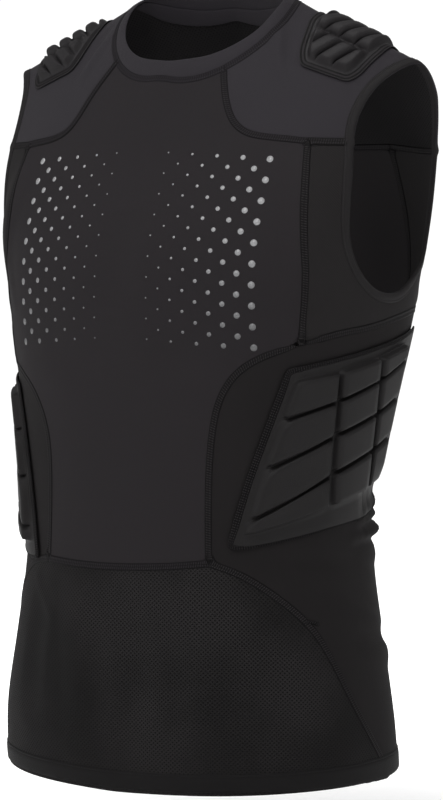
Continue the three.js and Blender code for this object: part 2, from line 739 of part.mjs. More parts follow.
// A pad's grid has a line at each groove, and its points between two grooves are raised.
const BLOCK_SHARES = [0.14, 0.5, 0.86, 1]; // where a block's own lines lie between two grooves
function raisedLines(start, blocks, end) {
  const lines = [{ place: start, raised: 0 }];
  for (let k = 0; k < blocks.length - 1; k += 1) {
    if (k === 0) lines.push({ place: blocks[0], raised: 0 });
    for (const share of BLOCK_SHARES)
      lines.push({ place: mix(blocks[k], blocks[k + 1], share), raised: share < 1 ? 1 : 0 });
  }
  lines.push({ place: end - 0.5, raised: 0 }, { place: end, raised: 0 });
  return lines;
}
function ribPad(side, panelMesh) {
  const lines = raisedLines(0, [1, 2, 3, 4], 5);
  const rows = raisedLines(0, [1, 2, 3, 4, 5], 6);
  const between = (list, place, read) => {
    const low = Math.min(Math.floor(place), list.length - 2);
    return mix(read(list[low]), read(list[low + 1]), place - low);
  };
  const topRow = RIB_ROWS[RIB_ROWS.length - 1];
  const grid = rows.map((row) =>
    lines.map(({ place }) => {
      const height = between(RIB_ROWS, row.place, (r) => between(r.heights, place, (h) => h));
      const foot = between(RIB_ROWS[0].heights, place, (h) => h);
      const top = between(topRow.heights, place, (h) => h);
      const share = (height - foot) / (top - foot);
      const turn = between(RIB_LINES, place, (l) => mix(l.foot_turn, l.top_turn, share));
      return aroundOn(side, turn, height + ribsDrop(side));
    }),
  );
  const ordered = side > 0 ? grid : grid.map(backwards);
  const order = side > 0 ? lines : backwards(lines);
  const relief = (j, i) => RIB_BLOCK * rows[j].raised * order[i].raised;
  return pad(`rib_pad_${sideName(side)}`, panelMesh, ordered, relief);
}

// A shoulder pad's ribs run from front to back in three rows, the middle row half a rib out of step
function shoulderPad(side, panelMesh) {
  const steps = SHOULDER_RIB_COUNT * 4;
  const rows = [
    { place: 0 }, { place: 1 },
    { place: 1.15, row: 0 }, { place: 1.5, row: 0 }, { place: 1.88, row: 0 }, { place: 2 },
    { place: 2.12, row: 1 }, { place: 2.5, row: 1 }, { place: 2.88, row: 1 }, { place: 3 },
    { place: 3.12, row: 2 }, { place: 3.5, row: 2 }, { place: 3.85, row: 2 }, { place: 4 }, { place: 5 },
  ];
  const raised = (row, step) => {
    if (row === undefined || step <= 0 || step >= steps) return 0;
    const shift = row === 1 ? 0 : 2;
    if (row !== 1 && (step < 2 || step > steps - 2)) return 0;
    return (step + shift) % 4 === 0 ? 0 : 1;
  };
  const at = (place, key) => {
    const low = Math.min(Math.floor(place), SHOULDER_ROWS.length - 2);
    return mix(SHOULDER_ROWS[low][key], SHOULDER_ROWS[low + 1][key], place - low);
  };
  const grid = rows.map(({ place }) => {
    const [inner, outer] = [at(place, "inner"), at(place, "outer")];
    const xs = [inner];
    for (let step = 0; step <= steps; step += 1)
      xs.push(mix(inner + SHOULDER_BORDER, outer - SHOULDER_BORDER, step / steps));
    xs.push(outer);
    return xs.map((x) => over.at(side * x, at(place, "over")));
  });
  const ordered = side > 0 ? grid : grid.map(backwards);
  const relief = (j, i) => SHOULDER_RIB * raised(rows[j].row, (side > 0 ? i : steps + 2 - i) - 1);
  return pad(`shoulder_pad_${sideName(side)}`, panelMesh, ordered, relief);
}

// The shirt
const shirt = new THREE.Group();
shirt.name = "padded_compression_shirt";
const left = seamsOf(1);
const right = seamsOf(-1);
const angles = neckAngles();
const neckFront = angles.front.map((angle) => neckPoint(NECK_SEAM, angle));
const neckBack = angles.rear.map((angle) => neckPoint(NECK_SEAM, angle));
const waistCorners = [right.slant[0], left.slant[0]];
const waist = Array.from({ length: PARTS.neck_front + 1 }, (_, i) => {
  const share = i / PARTS.neck_front;
  if (share === 0) return waistCorners[0];
  if (share === 1) return waistCorners[1];
  const dip = WAIST_DIP * (1 - (2 * share - 1) ** 2);
  return seenFront.at(
    mix(waistCorners[0].x, waistCorners[1].x, share),
    mix(waistCorners[0].z, waistCorners[1].z, share) + dip,
  );
});
const yokeGrid = yokeGridOver(left, right, neckBack);
const yoke = clothWall("yoke", yokeGrid, { material: SMOOTH_KNIT });
const neckAngle = joined(angles.front, angles.rear);
const band = neckbandGrid(neckAngle);
shirt.add(
  frontCenter(left, right, neckFront, waist),
  frontHemPanel(left, right, waist),
  yoke,
  backPanel(left, right),
  clothWall("neckband", band.grid, { directions: band.directions, material: SMOOTH_KNIT, closed: true }),
  neckTape(neckAngle, band, yokeGrid),
);
for (const [side, seams] of [[1, left], [-1, right]]) {
  const ribSide = ribSidePanel(side, seams);
  shirt.add(chestSide(side, seams), ribSide, ribPad(side, ribSide), shoulderPad(side, yoke));
}

export default shirt;
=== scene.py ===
# %% [markdown]
# A padded compression shirt, dressed for its portrait.
#
# The frame holds the shirt's panels and pads as plain solids, at their real size and place.
# This lesson turns each solid into cloth or foam, sews the pieces together, and lights the shirt
# on a pale floor. Every piece takes its shape from the frame, so nothing is fitted by eye.

import json
import math

import bmesh
import bpy
import numpy as np
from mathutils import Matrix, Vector
from mathutils.bvhtree import BVHTree
from mathutils.kdtree import KDTree

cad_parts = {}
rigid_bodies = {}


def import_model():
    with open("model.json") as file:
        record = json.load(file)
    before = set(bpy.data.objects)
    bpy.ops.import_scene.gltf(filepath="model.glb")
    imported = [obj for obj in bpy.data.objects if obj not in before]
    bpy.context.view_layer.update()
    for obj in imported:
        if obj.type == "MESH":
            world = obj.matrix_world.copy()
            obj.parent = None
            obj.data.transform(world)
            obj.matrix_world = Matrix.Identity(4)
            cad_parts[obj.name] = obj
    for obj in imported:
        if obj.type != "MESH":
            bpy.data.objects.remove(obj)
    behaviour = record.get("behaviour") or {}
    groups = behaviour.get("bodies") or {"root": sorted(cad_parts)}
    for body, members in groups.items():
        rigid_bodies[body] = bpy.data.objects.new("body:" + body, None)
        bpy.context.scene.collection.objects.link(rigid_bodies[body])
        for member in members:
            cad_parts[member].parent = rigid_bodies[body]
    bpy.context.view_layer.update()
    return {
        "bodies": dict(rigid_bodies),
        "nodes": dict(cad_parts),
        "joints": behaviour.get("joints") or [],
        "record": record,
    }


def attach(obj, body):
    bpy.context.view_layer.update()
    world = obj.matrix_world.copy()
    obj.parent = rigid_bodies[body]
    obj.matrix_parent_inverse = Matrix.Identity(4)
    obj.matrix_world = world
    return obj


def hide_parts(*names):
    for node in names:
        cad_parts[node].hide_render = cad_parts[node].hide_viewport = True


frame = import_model()
MM = 0.001
print("nodes:", ", ".join(sorted(frame["nodes"])))

# %% [markdown]
# The camera stands three metres off, a little above the chest, and looks past the wearer's left
# side of the front. A long lens keeps the sides almost parallel, as a catalogue picture does.
# The lens axis meets the picture a little left of and above its middle, and the shift says so.

# %% Camera
AIM = Vector((0, 0, -0.345))
AROUND = math.radians(34.15)
CAMERA_BACK = 2.9964
CAMERA_UP = 0.147
PICTURE_WIDTH, PICTURE_HEIGHT = 443, 800
LENS_PIXELS = 3407
AXIS_X, AXIS_Y = 208.6, 374.0

camera_data = bpy.data.cameras.new("portrait_camera")
camera_data.sensor_width = 36
camera_data.lens = 36 * LENS_PIXELS / PICTURE_HEIGHT
camera_data.shift_x = (PICTURE_WIDTH / 2 - AXIS_X) / PICTURE_HEIGHT
camera_data.shift_y = (AXIS_Y - PICTURE_HEIGHT / 2) / PICTURE_HEIGHT
camera = bpy.data.objects.new("portrait_camera", camera_data)
camera.location = AIM + Vector((math.sin(AROUND) * CAMERA_BACK, -math.cos(AROUND) * CAMERA_BACK, CAMERA_UP))
camera.rotation_euler = (AIM - camera.location).to_track_quat("-Z", "Y").to_euler()
bpy.context.scene.collection.objects.link(camera)
bpy.context.scene.camera = camera
print("camera at", [round(v, 3) for v in camera.location], "lens", round(camera_data.lens, 1), "mm")

# %% [markdown]
# Two small helpers are used all through. One turns a bmesh into an object at the origin. The
# other bakes an object's modifiers into its mesh, so that later steps can measure the real surface.

# %% Objects from bmesh
def piece_from(bm, name):
    mesh = bpy.data.meshes.new(name)
    bm.to_mesh(mesh)
    bm.free()
    mesh.shade_smooth()
    obj = bpy.data.objects.new(name, mesh)
    bpy.context.scene.collection.objects.link(obj)
    return obj


def bake_modifiers(obj):
    depsgraph = bpy.context.evaluated_depsgraph_get()
    baked = bpy.data.meshes.new_from_object(obj.evaluated_get(depsgraph))
    obj.modifiers.clear()
    old, obj.data = obj.data, baked
    bpy.data.meshes.remove(old)
    baked.shade_smooth()
    return obj


# %% [markdown]
# A panel's solid is a wall of flat triangles: an outer skin, an inner skin and a narrow rim that
# joins them. Many steps need to know which is which. The rim's short edges run straight through
# the wall, so their length is the wall's thickness, and their outer end is the one that lies
# further from a line up the middle of the body. From there the outer skin is found by walking
# over the faces that hold no inner point.

# %% Outer skin and rims
CHEST = -0.252
BODY_DEPTH = 0.012
CLOTH_WALL = 0.002
TAPE_WALL = 0.001
CLOTH_NODES = [
    "front_center",
    "front_hem_panel",
    "yoke",
    "back_panel",
    "neckband",
    "neck_tape",
    "chest_side_left",
    "chest_side_right",
    "side_panel_left",
    "side_panel_right",
]
PAD_NODES = ["rib_pad_left", "rib_pad_right", "shoulder_pad_left", "shoulder_pad_right"]


def away_from_middle(p):
    return (p - Vector((0, BODY_DEPTH, min(p.z, CHEST)))).normalized()


def merged_copy(node):
    bm = bmesh.new()
    bm.from_mesh(frame["nodes"][node].data)
    bmesh.ops.remove_doubles(bm, verts=bm.verts, dist=1e-6)
    bm.normal_update()
    return bm


def through_wall(bm, wall):
    """The pairs of outer and inner points at the two ends of each edge that runs through the wall."""
    pairs = []
    for edge in bm.edges:
        if abs(edge.calc_length() - wall) < 4e-6:
            a, b = edge.verts
            outward = (a.co - b.co).dot(away_from_middle(a.co)) > 0
            pairs.append((a, b) if outward else (b, a))
    return pairs


def mark_skins(bm, pairs):
    """Gives each face a number: 0 on the outer skin, 1 on the rim, 2 on the inner skin."""
    outer_ends = {a for a, b in pairs}
    inner_ends = {b for a, b in pairs}
    layer = bm.faces.layers.int.new("skin")
    for face in bm.faces:
        on_rim = any(v in outer_ends for v in face.verts) and any(v in inner_ends for v in face.verts)
        face[layer] = 1 if on_rim else 2
    walk = [f for f in bm.faces if f[layer] == 2 and any(v in outer_ends for v in f.verts)]
    while walk:
        face = walk.pop()
        if face[layer] != 2:
            continue
        face[layer] = 0
        walk += [f for e in face.edges for f in e.link_faces if f[layer] == 2]
    return layer


def rim_loops(bm, layer):
    """The closed lines of points where the outer skin meets the rim, in order."""
    joined = {}
    for edge in bm.edges:
        if sorted(face[layer] for face in edge.link_faces) == [0, 1]:
            for vert in edge.verts:
                joined.setdefault(vert, []).append(edge.other_vert(vert))
    loops = []
    unused = set(joined)
    while unused:
        start = min(unused, key=lambda v: v.index)
        loop = [start]
        unused.discard(start)
        while True:
            ahead = [v for v in joined[loop[-1]] if v in unused]
            if not ahead:
                break
            loop.append(ahead[0])
            unused.discard(ahead[0])
        loops.append([v.co.copy() for v in loop])
    return sorted(loops, key=len, reverse=True)


edge_loops = {}
for node in CLOTH_NODES:
    bm = merged_copy(node)
    wall = TAPE_WALL if node == "neck_tape" else CLOTH_WALL
    skin = mark_skins(bm, through_wall(bm, wall))
    edge_loops[node] = rim_loops(bm, skin)
    counts = [sum(f[skin] == kind for f in bm.faces) for kind in range(3)]
    print(node, "edge loops:", [len(loop) for loop in edge_loops[node]], "faces out, rim, in:", counts)
    bm.free()

# %% [markdown]
# Where two panels are sewn, their edge lines run side by side a third of a millimetre apart. Looking
# up each edge point's neighbours tells which stretches of an edge are seams, and between which
# panels, and which stretches are free: the neck, the armholes and the foot.

# %% Neighbours along the edges
SEAM_REACH = 0.0025
edge_samples = []
for node, loops in edge_loops.items():
    for loop in loops:
        for a, b in zip(loop, loop[1:] + loop[:1]):
            parts = max(round((b - a).length / 0.001), 1)
            edge_samples += [(a.lerp(b, k / parts), node) for k in range(parts)]
edge_tree = KDTree(len(edge_samples))
for i, (p, node) in enumerate(edge_samples):
    edge_tree.insert(p, i)
edge_tree.balance()


def neighbours_at(node, p):
    found = {edge_samples[i][1] for _, i, _ in edge_tree.find_range(p, SEAM_REACH)}
    return found - {node, "neck_tape"}


free_points = {n: sum(not neighbours_at(n, p) for loop in edge_loops[n] for p in loop) for n in CLOTH_NODES}
print("free edge points:", free_points)

# %% [markdown]
# Real cloth has no facets. Each panel's triangles are paired into four-sided faces, and a
# Subdivision Surface rounds them into one smooth sheet with its two-millimetre wall. Edges that are
# sewn get a full crease, so that they stay on the seam line. Free edges get none: they round over
# by themselves, as a folded hem does. The corners between the two are pinned, or each would shrink
# back and leave a notch in the foot.

# %% Smooth cloth from a panel's solid
OUTER, RIM, INNER = 0, 1, 2
FINER = {"front_center", "front_hem_panel", "side_panel_left", "side_panel_right"}


def pair_triangles(bm, skin):
    for kind in (OUTER, RIM, INNER):
        faces = [f for f in bm.faces if f[skin] == kind]
        bmesh.ops.join_triangles(
            bm, faces=faces, angle_face_threshold=math.pi, angle_shape_threshold=math.pi
        )


def crease_seams(bm, skin, node):
    crease = bm.edges.layers.float.new("crease_edge")
    sewn = 0
    for face in bm.faces:
        if face[skin] != RIM:
            continue
        lengthwise = [e for e in face.edges if any(f[skin] != RIM for f in e.link_faces)]
        outer_edges = [e for e in lengthwise if any(f[skin] == OUTER for f in e.link_faces)]
        for edge in outer_edges:
            shared = [neighbours_at(node, v.co) for v in edge.verts]
            if shared[0] & shared[1]:
                sewn += 1
                for other in lengthwise:
                    other[crease] = 1
    pinned = bm.verts.layers.float.new("crease_vert")
    for vert in bm.verts:
        kinds = {e[crease] for e in vert.link_edges if len({f[skin] == RIM for f in e.link_faces}) == 2}
        vert[pinned] = 1 if len(kinds) == 2 else 0
    return sewn


def smooth_cloth(node):
    bm = merged_copy(node)
    skin = mark_skins(bm, through_wall(bm, TAPE_WALL if node == "neck_tape" else CLOTH_WALL))
    pair_triangles(bm, skin)
    sewn = crease_seams(bm, skin, node)
    obj = piece_from(bm, "cloth_" + node)
    rounding = obj.modifiers.new("rounding", "SUBSURF")
    rounding.levels = rounding.render_levels = 3 if node in FINER else 2
    bake_modifiers(obj)
    print(obj.name, len(obj.data.vertices), "points,", sewn, "sewn edges")
    return obj


cloth = {node: smooth_cloth(node) for node in CLOTH_NODES}

# %% [markdown]
# Later steps lay things on the cloth: folds, seam threads, pads, the chest print. They all ask the
# same question, which point of the outer or inner skin is nearest, and a BVH tree answers it fast.

# %% Finding the cloth's surface
SEWN_PANELS = [n for n in CLOTH_NODES if n != "neck_tape"]


def skin_tree(nodes, kind):
    points, faces = [], []
    for node in nodes:
        mesh = cloth[node].data
        kinds = mesh.attributes["skin"].data
        first = len(points)
        points += [v.co.copy() for v in mesh.vertices]
        faces += [[first + i for i in p.vertices] for p in mesh.polygons if kinds[p.index].value == kind]
    return BVHTree.FromPolygons(points, faces)


flat_outside = skin_tree(SEWN_PANELS, OUTER)


def from_middle(turn, height):
    """The outer skin's point at a turn round the body, in degrees from the front, and a height."""
    direction = Vector((math.sin(math.radians(turn)), -math.cos(math.radians(turn)), 0))
    start = Vector((0, BODY_DEPTH, height)) + direction * 0.4
    return flat_outside.ray_cast(start, -direction)[0]


def from_above(x, y):
    return flat_outside.ray_cast(Vector((x, y, 0.3)), Vector((0, 0, -1)))[0]


print("front middle at the chest:", [round(v * 1000) for v in from_middle(0, -0.25)], "mm")

# %% [markdown]
# The cloth is stretched over the body, so its folds are few, low and soft. Each fold is named and
# laid one by one: a line over the cloth, a height in millimetres (minus for a trough), and half its
# width. A fold swells from nothing at one end to its full height and dies away at the other. All
# pieces share the same folds, so a fold runs on over a seam.

# %% Folds, by where they lie
def around_body(*places):
    return [from_middle(turn, height * MM) for turn, height in places]


def over_shoulders(*places):
    return [from_above(x * MM, y * MM) for x, y in places]


FOLDS = [
    ("pad's rear corner, hollow left", -7.5, 34, around_body((136, -426), (108, -438), (82, -452))),
    ("pad's rear corner, first roll left", 6.0, 8, around_body((140, -436), (108, -446), (84, -460))),
    ("pad's rear corner, first dip left", -3.2, 6, around_body((136, -443), (107, -453), (86, -468))),
    ("pad's rear corner, second roll left", 4.2, 7, around_body((141, -450), (107, -459), (80, -470))),
    ("pad's rear corner, second dip left", -3.0, 6, around_body((138, -458), (108, -467), (84, -474))),
    ("pad's rear corner, third roll left", 5.2, 8, around_body((142, -468), (110, -475), (78, -480))),
    ("pad's rear corner, third dip left", -2.4, 7, around_body((137, -478), (108, -484), (80, -487))),
    ("pad's rear corner, last roll left", 1.6, 10, around_body((139, -492), (110, -498), (82, -501))),
    ("waist crease left", -2.4, 12, around_body((128, -566), (112, -572), (94, -566), (80, -556))),
    ("waist roll left", 1.8, 14, around_body((126, -586), (110, -590), (92, -582), (78, -572))),
    ("from the slant seam left", 1.6, 15, around_body((66, -530), (80, -540), (95, -560), (104, -588))),
    ("below the rib pad left", -1.6, 12, around_body((44, -494), (60, -497), (78, -500), (90, -512))),
    ("pad's rear corner, hollow right", -6.5, 34, around_body((-134, -444), (-106, -456), (-84, -470))),
    ("pad's rear corner, first roll right", 5.0, 8, around_body((-140, -452), (-109, -463), (-86, -478))),
    ("pad's rear corner, first dip right", -2.8, 7, around_body((-138, -461), (-108, -472), (-84, -484))),
    ("pad's rear corner, second roll right", 4.8, 8, around_body((-141, -471), (-110, -481), (-80, -490))),
    ("pad's rear corner, second dip right", -2.4, 7, around_body((-138, -482), (-108, -491), (-82, -498))),
    ("pad's rear corner, third roll right", 2.6, 9, around_body((-140, -495), (-110, -502), (-84, -508))),
    ("waist crease right", -2.2, 12, around_body((-126, -560), (-110, -572), (-93, -574), (-79, -562))),
    ("waist roll right", 1.8, 14, around_body((-124, -584), (-108, -592), (-90, -590), (-76, -578))),
    ("from the slant seam right", 1.6, 15, around_body((-64, -536), (-78, -548), (-92, -566), (-102, -592))),
    ("hem panel roll left", 3.0, 26, around_body((22, -516), (29, -560), (31, -610), (26, -664))),
    ("hem panel hollow middle", -3.0, 24, around_body((3, -530), (8, -590), (6, -640), (1, -686))),
    ("hem panel roll right", 2.8, 26, around_body((-16, -512), (-18, -560), (-14, -610), (-17, -668))),
    ("hem panel hollow right", -2.6, 22, around_body((-33, -526), (-38, -580), (-36, -650))),
    ("hem panel hollow left", -2.4, 20, around_body((45, -548), (50, -600), (52, -660))),
    ("waist seam pull left", 1.0, 9, around_body((40, -512), (36, -530), (28, -552))),
    ("waist seam pull right", 1.0, 9, around_body((-40, -514), (-35, -534), (-27, -556))),
    ("under the arm left", -1.6, 10, around_body((66, -262), (62, -280), (56, -300))),
    ("under the arm left, front", 1.2, 12, around_body((57, -240), (54, -262), (50, -290))),
    ("under the arm left, rear", 1.5, 9, around_body((104, -268), (112, -284), (122, -306))),
    ("under the arm left, rear dip", -1.5, 9, around_body((112, -258), (121, -276), (131, -300))),
    ("under the arm right", -1.6, 10, around_body((-66, -262), (-62, -282), (-57, -304))),
    ("under the arm right, front", 1.2, 12, around_body((-57, -238), (-54, -262), (-51, -292))),
    ("under the arm right, rear", 1.5, 9, around_body((-103, -268), (-112, -286), (-123, -310))),
    ("under the arm right, rear dip", -1.5, 9, around_body((-112, -258), (-121, -278), (-131, -304))),
    ("from the neck over the left shoulder", 1.6, 9, over_shoulders((84, -22), (96, -34), (106, -52))),
    ("beside the left shoulder pad", -1.5, 9, over_shoulders((94, -8), (101, -24), (110, -44))),
    ("from the neck, rear left", 1.3, 10, over_shoulders((88, 16), (98, 34), (104, 56))),
    ("from the neck over the right shoulder", 1.5, 9, over_shoulders((-84, -24), (-95, -36), (-104, -54))),
    ("beside the right shoulder pad", -1.4, 9, over_shoulders((-93, -10), (-101, -26), (-108, -46))),
    ("from the neck, rear right", 1.3, 10, over_shoulders((-86, 18), (-97, 36), (-105, 58))),
    ("round of the chest beside the armhole left", 4.2, 27,
     around_body((55, -150), (60, -190), (61, -226), (58, -262))),
    ("round of the chest beside the armhole right", 3.8, 27,
     around_body((-56, -152), (-60, -192), (-62, -230), (-58, -260))),
    ("chest hollow", -1.5, 30, around_body((-3, -200), (-2, -240), (-4, -290))),
    ("below the chest left", -1.4, 24, around_body((34, -316), (22, -330), (8, -332))),
    ("below the chest right", -1.4, 24, around_body((-34, -318), (-22, -334), (-8, -334))),
    ("belly roll", 1.0, 30, around_body((24, -420), (8, -440), (-10, -436), (-26, -424))),
    ("back hollow", -2.2, 30, around_body((180, -180), (181, -260), (180, -360), (179, -460))),
    ("small of the back, upper", -2.0, 13, around_body((150, -452), (165, -460), (183, -463), (204, -456))),
    ("small of the back, roll", 1.8, 13, around_body((148, -478), (164, -488), (182, -490), (206, -480))),
    ("small of the back, lower", -1.6, 14, around_body((152, -512), (170, -518), (190, -520), (208, -512))),
    ("back side pull left", 1.5, 13, around_body((136, -400), (146, -424), (158, -440))),
    ("back side pull right", 1.5, 13, around_body((-136, -404), (-147, -426), (-159, -444))),
    ("back foot roll left", 1.5, 22, around_body((158, -560), (154, -610), (152, -665))),
    ("back foot roll right", 1.5, 22, around_body((-156, -556), (-153, -606), (-155, -660))),
    ("back foot hollow", -1.5, 24, around_body((180, -570), (182, -620), (178, -670))),
]
print("folds:", len(FOLDS), "all on the cloth:", all(p is not None for fold in FOLDS for p in fold[3]))


# %% Laying the folds
def smooth_line(points, step, closed=False):
    """A smooth line near the points, cut into equal steps. Subdivided seam lines take the same course."""
    count = len(points)
    if closed:
        padded = [points[-1]] + list(points) + [points[0], points[1]]
    else:
        padded = [points[0] * 2 - points[1]] + list(points) + [points[-1] * 2 - points[-2]]
    fine = []
    for i in range(count if closed else count - 1):
        a, b, c, d = padded[i:i + 4]
        for k in range(8):
            t = k / 8
            fine.append((a * (1 - t) ** 3 + b * (3 * t ** 3 - 6 * t ** 2 + 4)
                         + c * (-3 * t ** 3 + 3 * t ** 2 + 3 * t + 1) + d * t ** 3) / 6)
    fine.append(fine[0] if closed else points[-1].copy())
    lengths = [0]
    for a, b in zip(fine, fine[1:]):
        lengths.append(lengths[-1] + (b - a).length)
    parts = max(round(lengths[-1] / step), 2)
    line, k = [], 0
    for i in range(parts + 1):
        at = lengths[-1] * i / parts
        while k < len(fine) - 2 and lengths[k + 1] < at:
            k += 1
        share = (at - lengths[k]) / max(lengths[k + 1] - lengths[k], 1e-9)
        line.append(fine[k].lerp(fine[k + 1], share))
    return line


class Fold:
    def __init__(self, name, height, half_width, places):
        self.height = height * MM
        self.reach = half_width * MM
        line = smooth_line(places, 0.01)
        self.line = np.array([p[:] for p in line])
        self.normals = np.array([flat_outside.find_nearest(p)[1][:] for p in line])

    def shift(self, points):
        """How far this fold moves each point, along the cloth's normal."""
        moved = np.zeros(len(points))
        low, high = self.line.min(0) - self.reach, self.line.max(0) + self.reach
        near = np.nonzero(((points > low) & (points < high)).all(1))[0]
        closest = np.full(len(near), 1e9)
        along = np.zeros(len(near))
        for k in range(len(self.line) - 1):
            step = self.line[k + 1] - self.line[k]
            away = points[near] - self.line[k]
            share = np.clip(away @ step / (step @ step), 0, 1)
            away = away - share[:, None] * step
            away = away - (away @ self.normals[k])[:, None] * self.normals[k]
            distance = np.linalg.norm(away, axis=1)
            closer = distance < closest
            closest[closer] = distance[closer]
            along[closer] = (k + share[closer]) / (len(self.line) - 1)
        across = np.clip(1 - (closest / self.reach) ** 2, 0, 1) ** 2
        moved[near] = self.height * across * np.sin(math.pi * np.clip(along, 0, 1)) ** 0.8
        return moved


folds = [Fold(*fold) for fold in FOLDS]


def lay_folds(obj):
    mesh = obj.data
    points = np.empty(len(mesh.vertices) * 3)
    mesh.vertices.foreach_get("co", points)
    points = points.reshape(-1, 3)
    shift = sum(fold.shift(points) for fold in folds)
    for i in np.nonzero(np.abs(shift) > 1e-6)[0]:
        normal = flat_outside.find_nearest(Vector(points[i]))[1]
        points[i] += np.array(normal[:]) * shift[i]
    mesh.vertices.foreach_set("co", points.ravel())
    mesh.update()
    return np.abs(shift).max() * 1000


for node in CLOTH_NODES:
    print(node, "moved by up to", round(lay_folds(cloth[node]), 1), "mm")

outside = skin_tree(SEWN_PANELS, OUTER)
inside = skin_tree(SEWN_PANELS, INNER)

# %% [markdown]
# The seams are flatlock: the two edges butt together, and four needles sew a flat ladder of thread
# over them, about five millimetres wide, with a raised rail on each side. Each seam is a narrow
# grid laid along the line between two panels. Every point of the grid is dropped onto the cloth and
# lifted by the ladder's profile, and a Solidify closes it. Its UV map runs along and across the
# seam in metres, so that the stitches can be drawn at their real size.

# %% Threads laid on the cloth
FLATLOCK = [(-3.3, -0.25), (-3.0, 0.12), (-2.3, 0.42), (-1.6, 0.38), (-0.9, 0.2), (0, 0.14),
            (0.9, 0.2), (1.6, 0.38), (2.3, 0.42), (3.0, 0.12), (3.3, -0.25)]
FLATLOCK_BACK = [(-2.6, -0.2), (-1.6, 0.4), (0, 0.3), (1.6, 0.4), (2.6, -0.2)]


def dropped(tree, p, normal):
    """The surface under a point, looked for straight down along the normal."""
    at, face_normal = tree.ray_cast(p + normal * 0.012, -normal, 0.03)[:2]
    return (at, face_normal) if at else tree.find_nearest(p)[:2]


def band_along(bm, line, profile, tree, widths=None, closed=False, lift=0, frame=None):
    """Adds a strip that follows the line, each of its points dropped on the cloth and lifted."""
    rows, columns = len(line) - 1, len(profile) - 1
    made = bmesh.ops.create_grid(bm, x_segments=columns, y_segments=rows, size=1)
    uv = bm.loops.layers.uv.get("along") or bm.loops.layers.uv.new("along")
    lengths = [0]
    for a, b in zip(line, line[1:]):
        lengths.append(lengths[-1] + (b - a).length)
    place = {}
    for vert in made["verts"]:
        i = round((vert.co.x + 1) / 2 * columns)
        j = round((vert.co.y + 1) / 2 * rows)
        place[vert] = (i, j)
    normals = [(frame or tree).find_nearest(p)[1] for p in line]
    for vert, (i, j) in place.items():
        before = line[j - 1] if j > 0 else (line[rows - 1] if closed else line[0])
        after = line[j + 1] if j < rows else (line[1] if closed else line[rows])
        normal = normals[j]
        across = (after - before).cross(normal).normalized()
        offset, height = profile[i]
        share = widths[j] if widths else 1
        start = line[j] + across * (offset * share * MM)
        at, face_normal = dropped(tree, start, normal) if frame else tree.find_nearest(start)[:2]
        vert.co = at + face_normal * ((height + (lift if height > 0 else 0)) * MM)
    for face in {f for v in made["verts"] for f in v.link_faces}:
        for loop in face.loops:
            i, j = place[loop.vert]
            loop[uv].uv = (lengths[j], profile[i][0] * MM)


def threads_from(bm, name, thickness=0.35, closed=False):
    if closed:
        bmesh.ops.remove_doubles(bm, verts=bm.verts, dist=1e-6)
    bmesh.ops.recalc_face_normals(bm, faces=bm.faces)
    bm.normal_update()
    outward = sum(f.normal.dot(away_from_middle(f.calc_center_median())) for f in bm.faces)
    if outward < 0:
        bmesh.ops.reverse_faces(bm, faces=bm.faces)
    obj = piece_from(bm, name)
    wall = obj.modifiers.new("thickness", "SOLIDIFY")
    wall.thickness = thickness * MM
    wall.offset = -1
    return bake_modifiers(obj)


# %% [markdown]
# A seam's line is found from the panels' own edges: the points of one panel's edge that have the
# other panel beside them, in order, and halfway to that neighbour.

# %% Seam lines
def beside(node, other, p):
    near = [(gap, i) for _, i, gap in edge_tree.find_range(p, SEAM_REACH) if edge_samples[i][1] == other]
    return edge_samples[min(near)[1]][0] if near else None


def seam_runs(node, other):
    runs = []
    for loop in edge_loops[node]:
        middle = []
        for p in loop:
            q = beside(node, other, p)
            middle.append(None if q is None else (p + q) / 2)
        if all(middle):
            runs.append((middle, True))
            continue
        start = middle.index(None)
        middle = middle[start:] + middle[:start]
        run = []
        for p in middle + [None]:
            if p is not None:
                run.append(p)
            elif len(run) > 1:
                runs.append((run, False))
                run = []
            else:
                run = []
    return runs


SEAMS = [
    ("yoke", "front_center", "seam_yoke_front", 0.0),
    ("yoke", "chest_side_left", "seam_yoke_side_left", 0.04),
    ("yoke", "chest_side_right", "seam_yoke_side_right", 0.04),
    ("yoke", "back_panel", "seam_yoke_back", 0.0),
    ("chest_side_left", "front_center", "seam_upright_front_left", 0.08),
    ("chest_side_right", "front_center", "seam_upright_front_right", 0.08),
    ("chest_side_left", "back_panel", "seam_upright_back_left", 0.08),
    ("chest_side_right", "back_panel", "seam_upright_back_right", 0.08),
    ("chest_side_left", "side_panel_left", "seam_underarm_left", 0.12),
    ("chest_side_right", "side_panel_right", "seam_underarm_right", 0.12),
    ("side_panel_left", "front_center", "seam_ribs_left", 0.04),
    ("side_panel_right", "front_center", "seam_ribs_right", 0.04),
    ("side_panel_left", "back_panel", "seam_back_side_left", 0.04),
    ("side_panel_right", "back_panel", "seam_back_side_right", 0.04),
    ("front_hem_panel", "front_center", "seam_waist", 0.12),
    ("front_hem_panel", "side_panel_left", "seam_slant_left", 0.12),
    ("front_hem_panel", "side_panel_right", "seam_slant_right", 0.12),
    ("neckband", "yoke", "seam_neck_yoke", 0.0),
    ("neckband", "front_center", "seam_neck_front", 0.0),
]
seams = []
for node, other, name, lift in SEAMS:
    runs = seam_runs(node, other)
    bm = bmesh.new()
    bm_back = bmesh.new()
    for run, closed in runs:
        line = smooth_line(run, 0.0022, closed)
        band_along(bm, line, FLATLOCK, outside, closed=closed, lift=lift)
        band_along(bm_back, smooth_line(run, 0.004, closed), FLATLOCK_BACK, inside, closed=closed)
    length = sum((b - a).length for run, _ in runs for a, b in zip(run, run[1:]))
    print(name, "runs", [len(run) for run, _ in runs], "length", round(length * 1000), "mm")
    seams.append((node, other, threads_from(bm, name)))
    seams.append((node, other, threads_from(bm_back, name + "_inside", 0.25)))
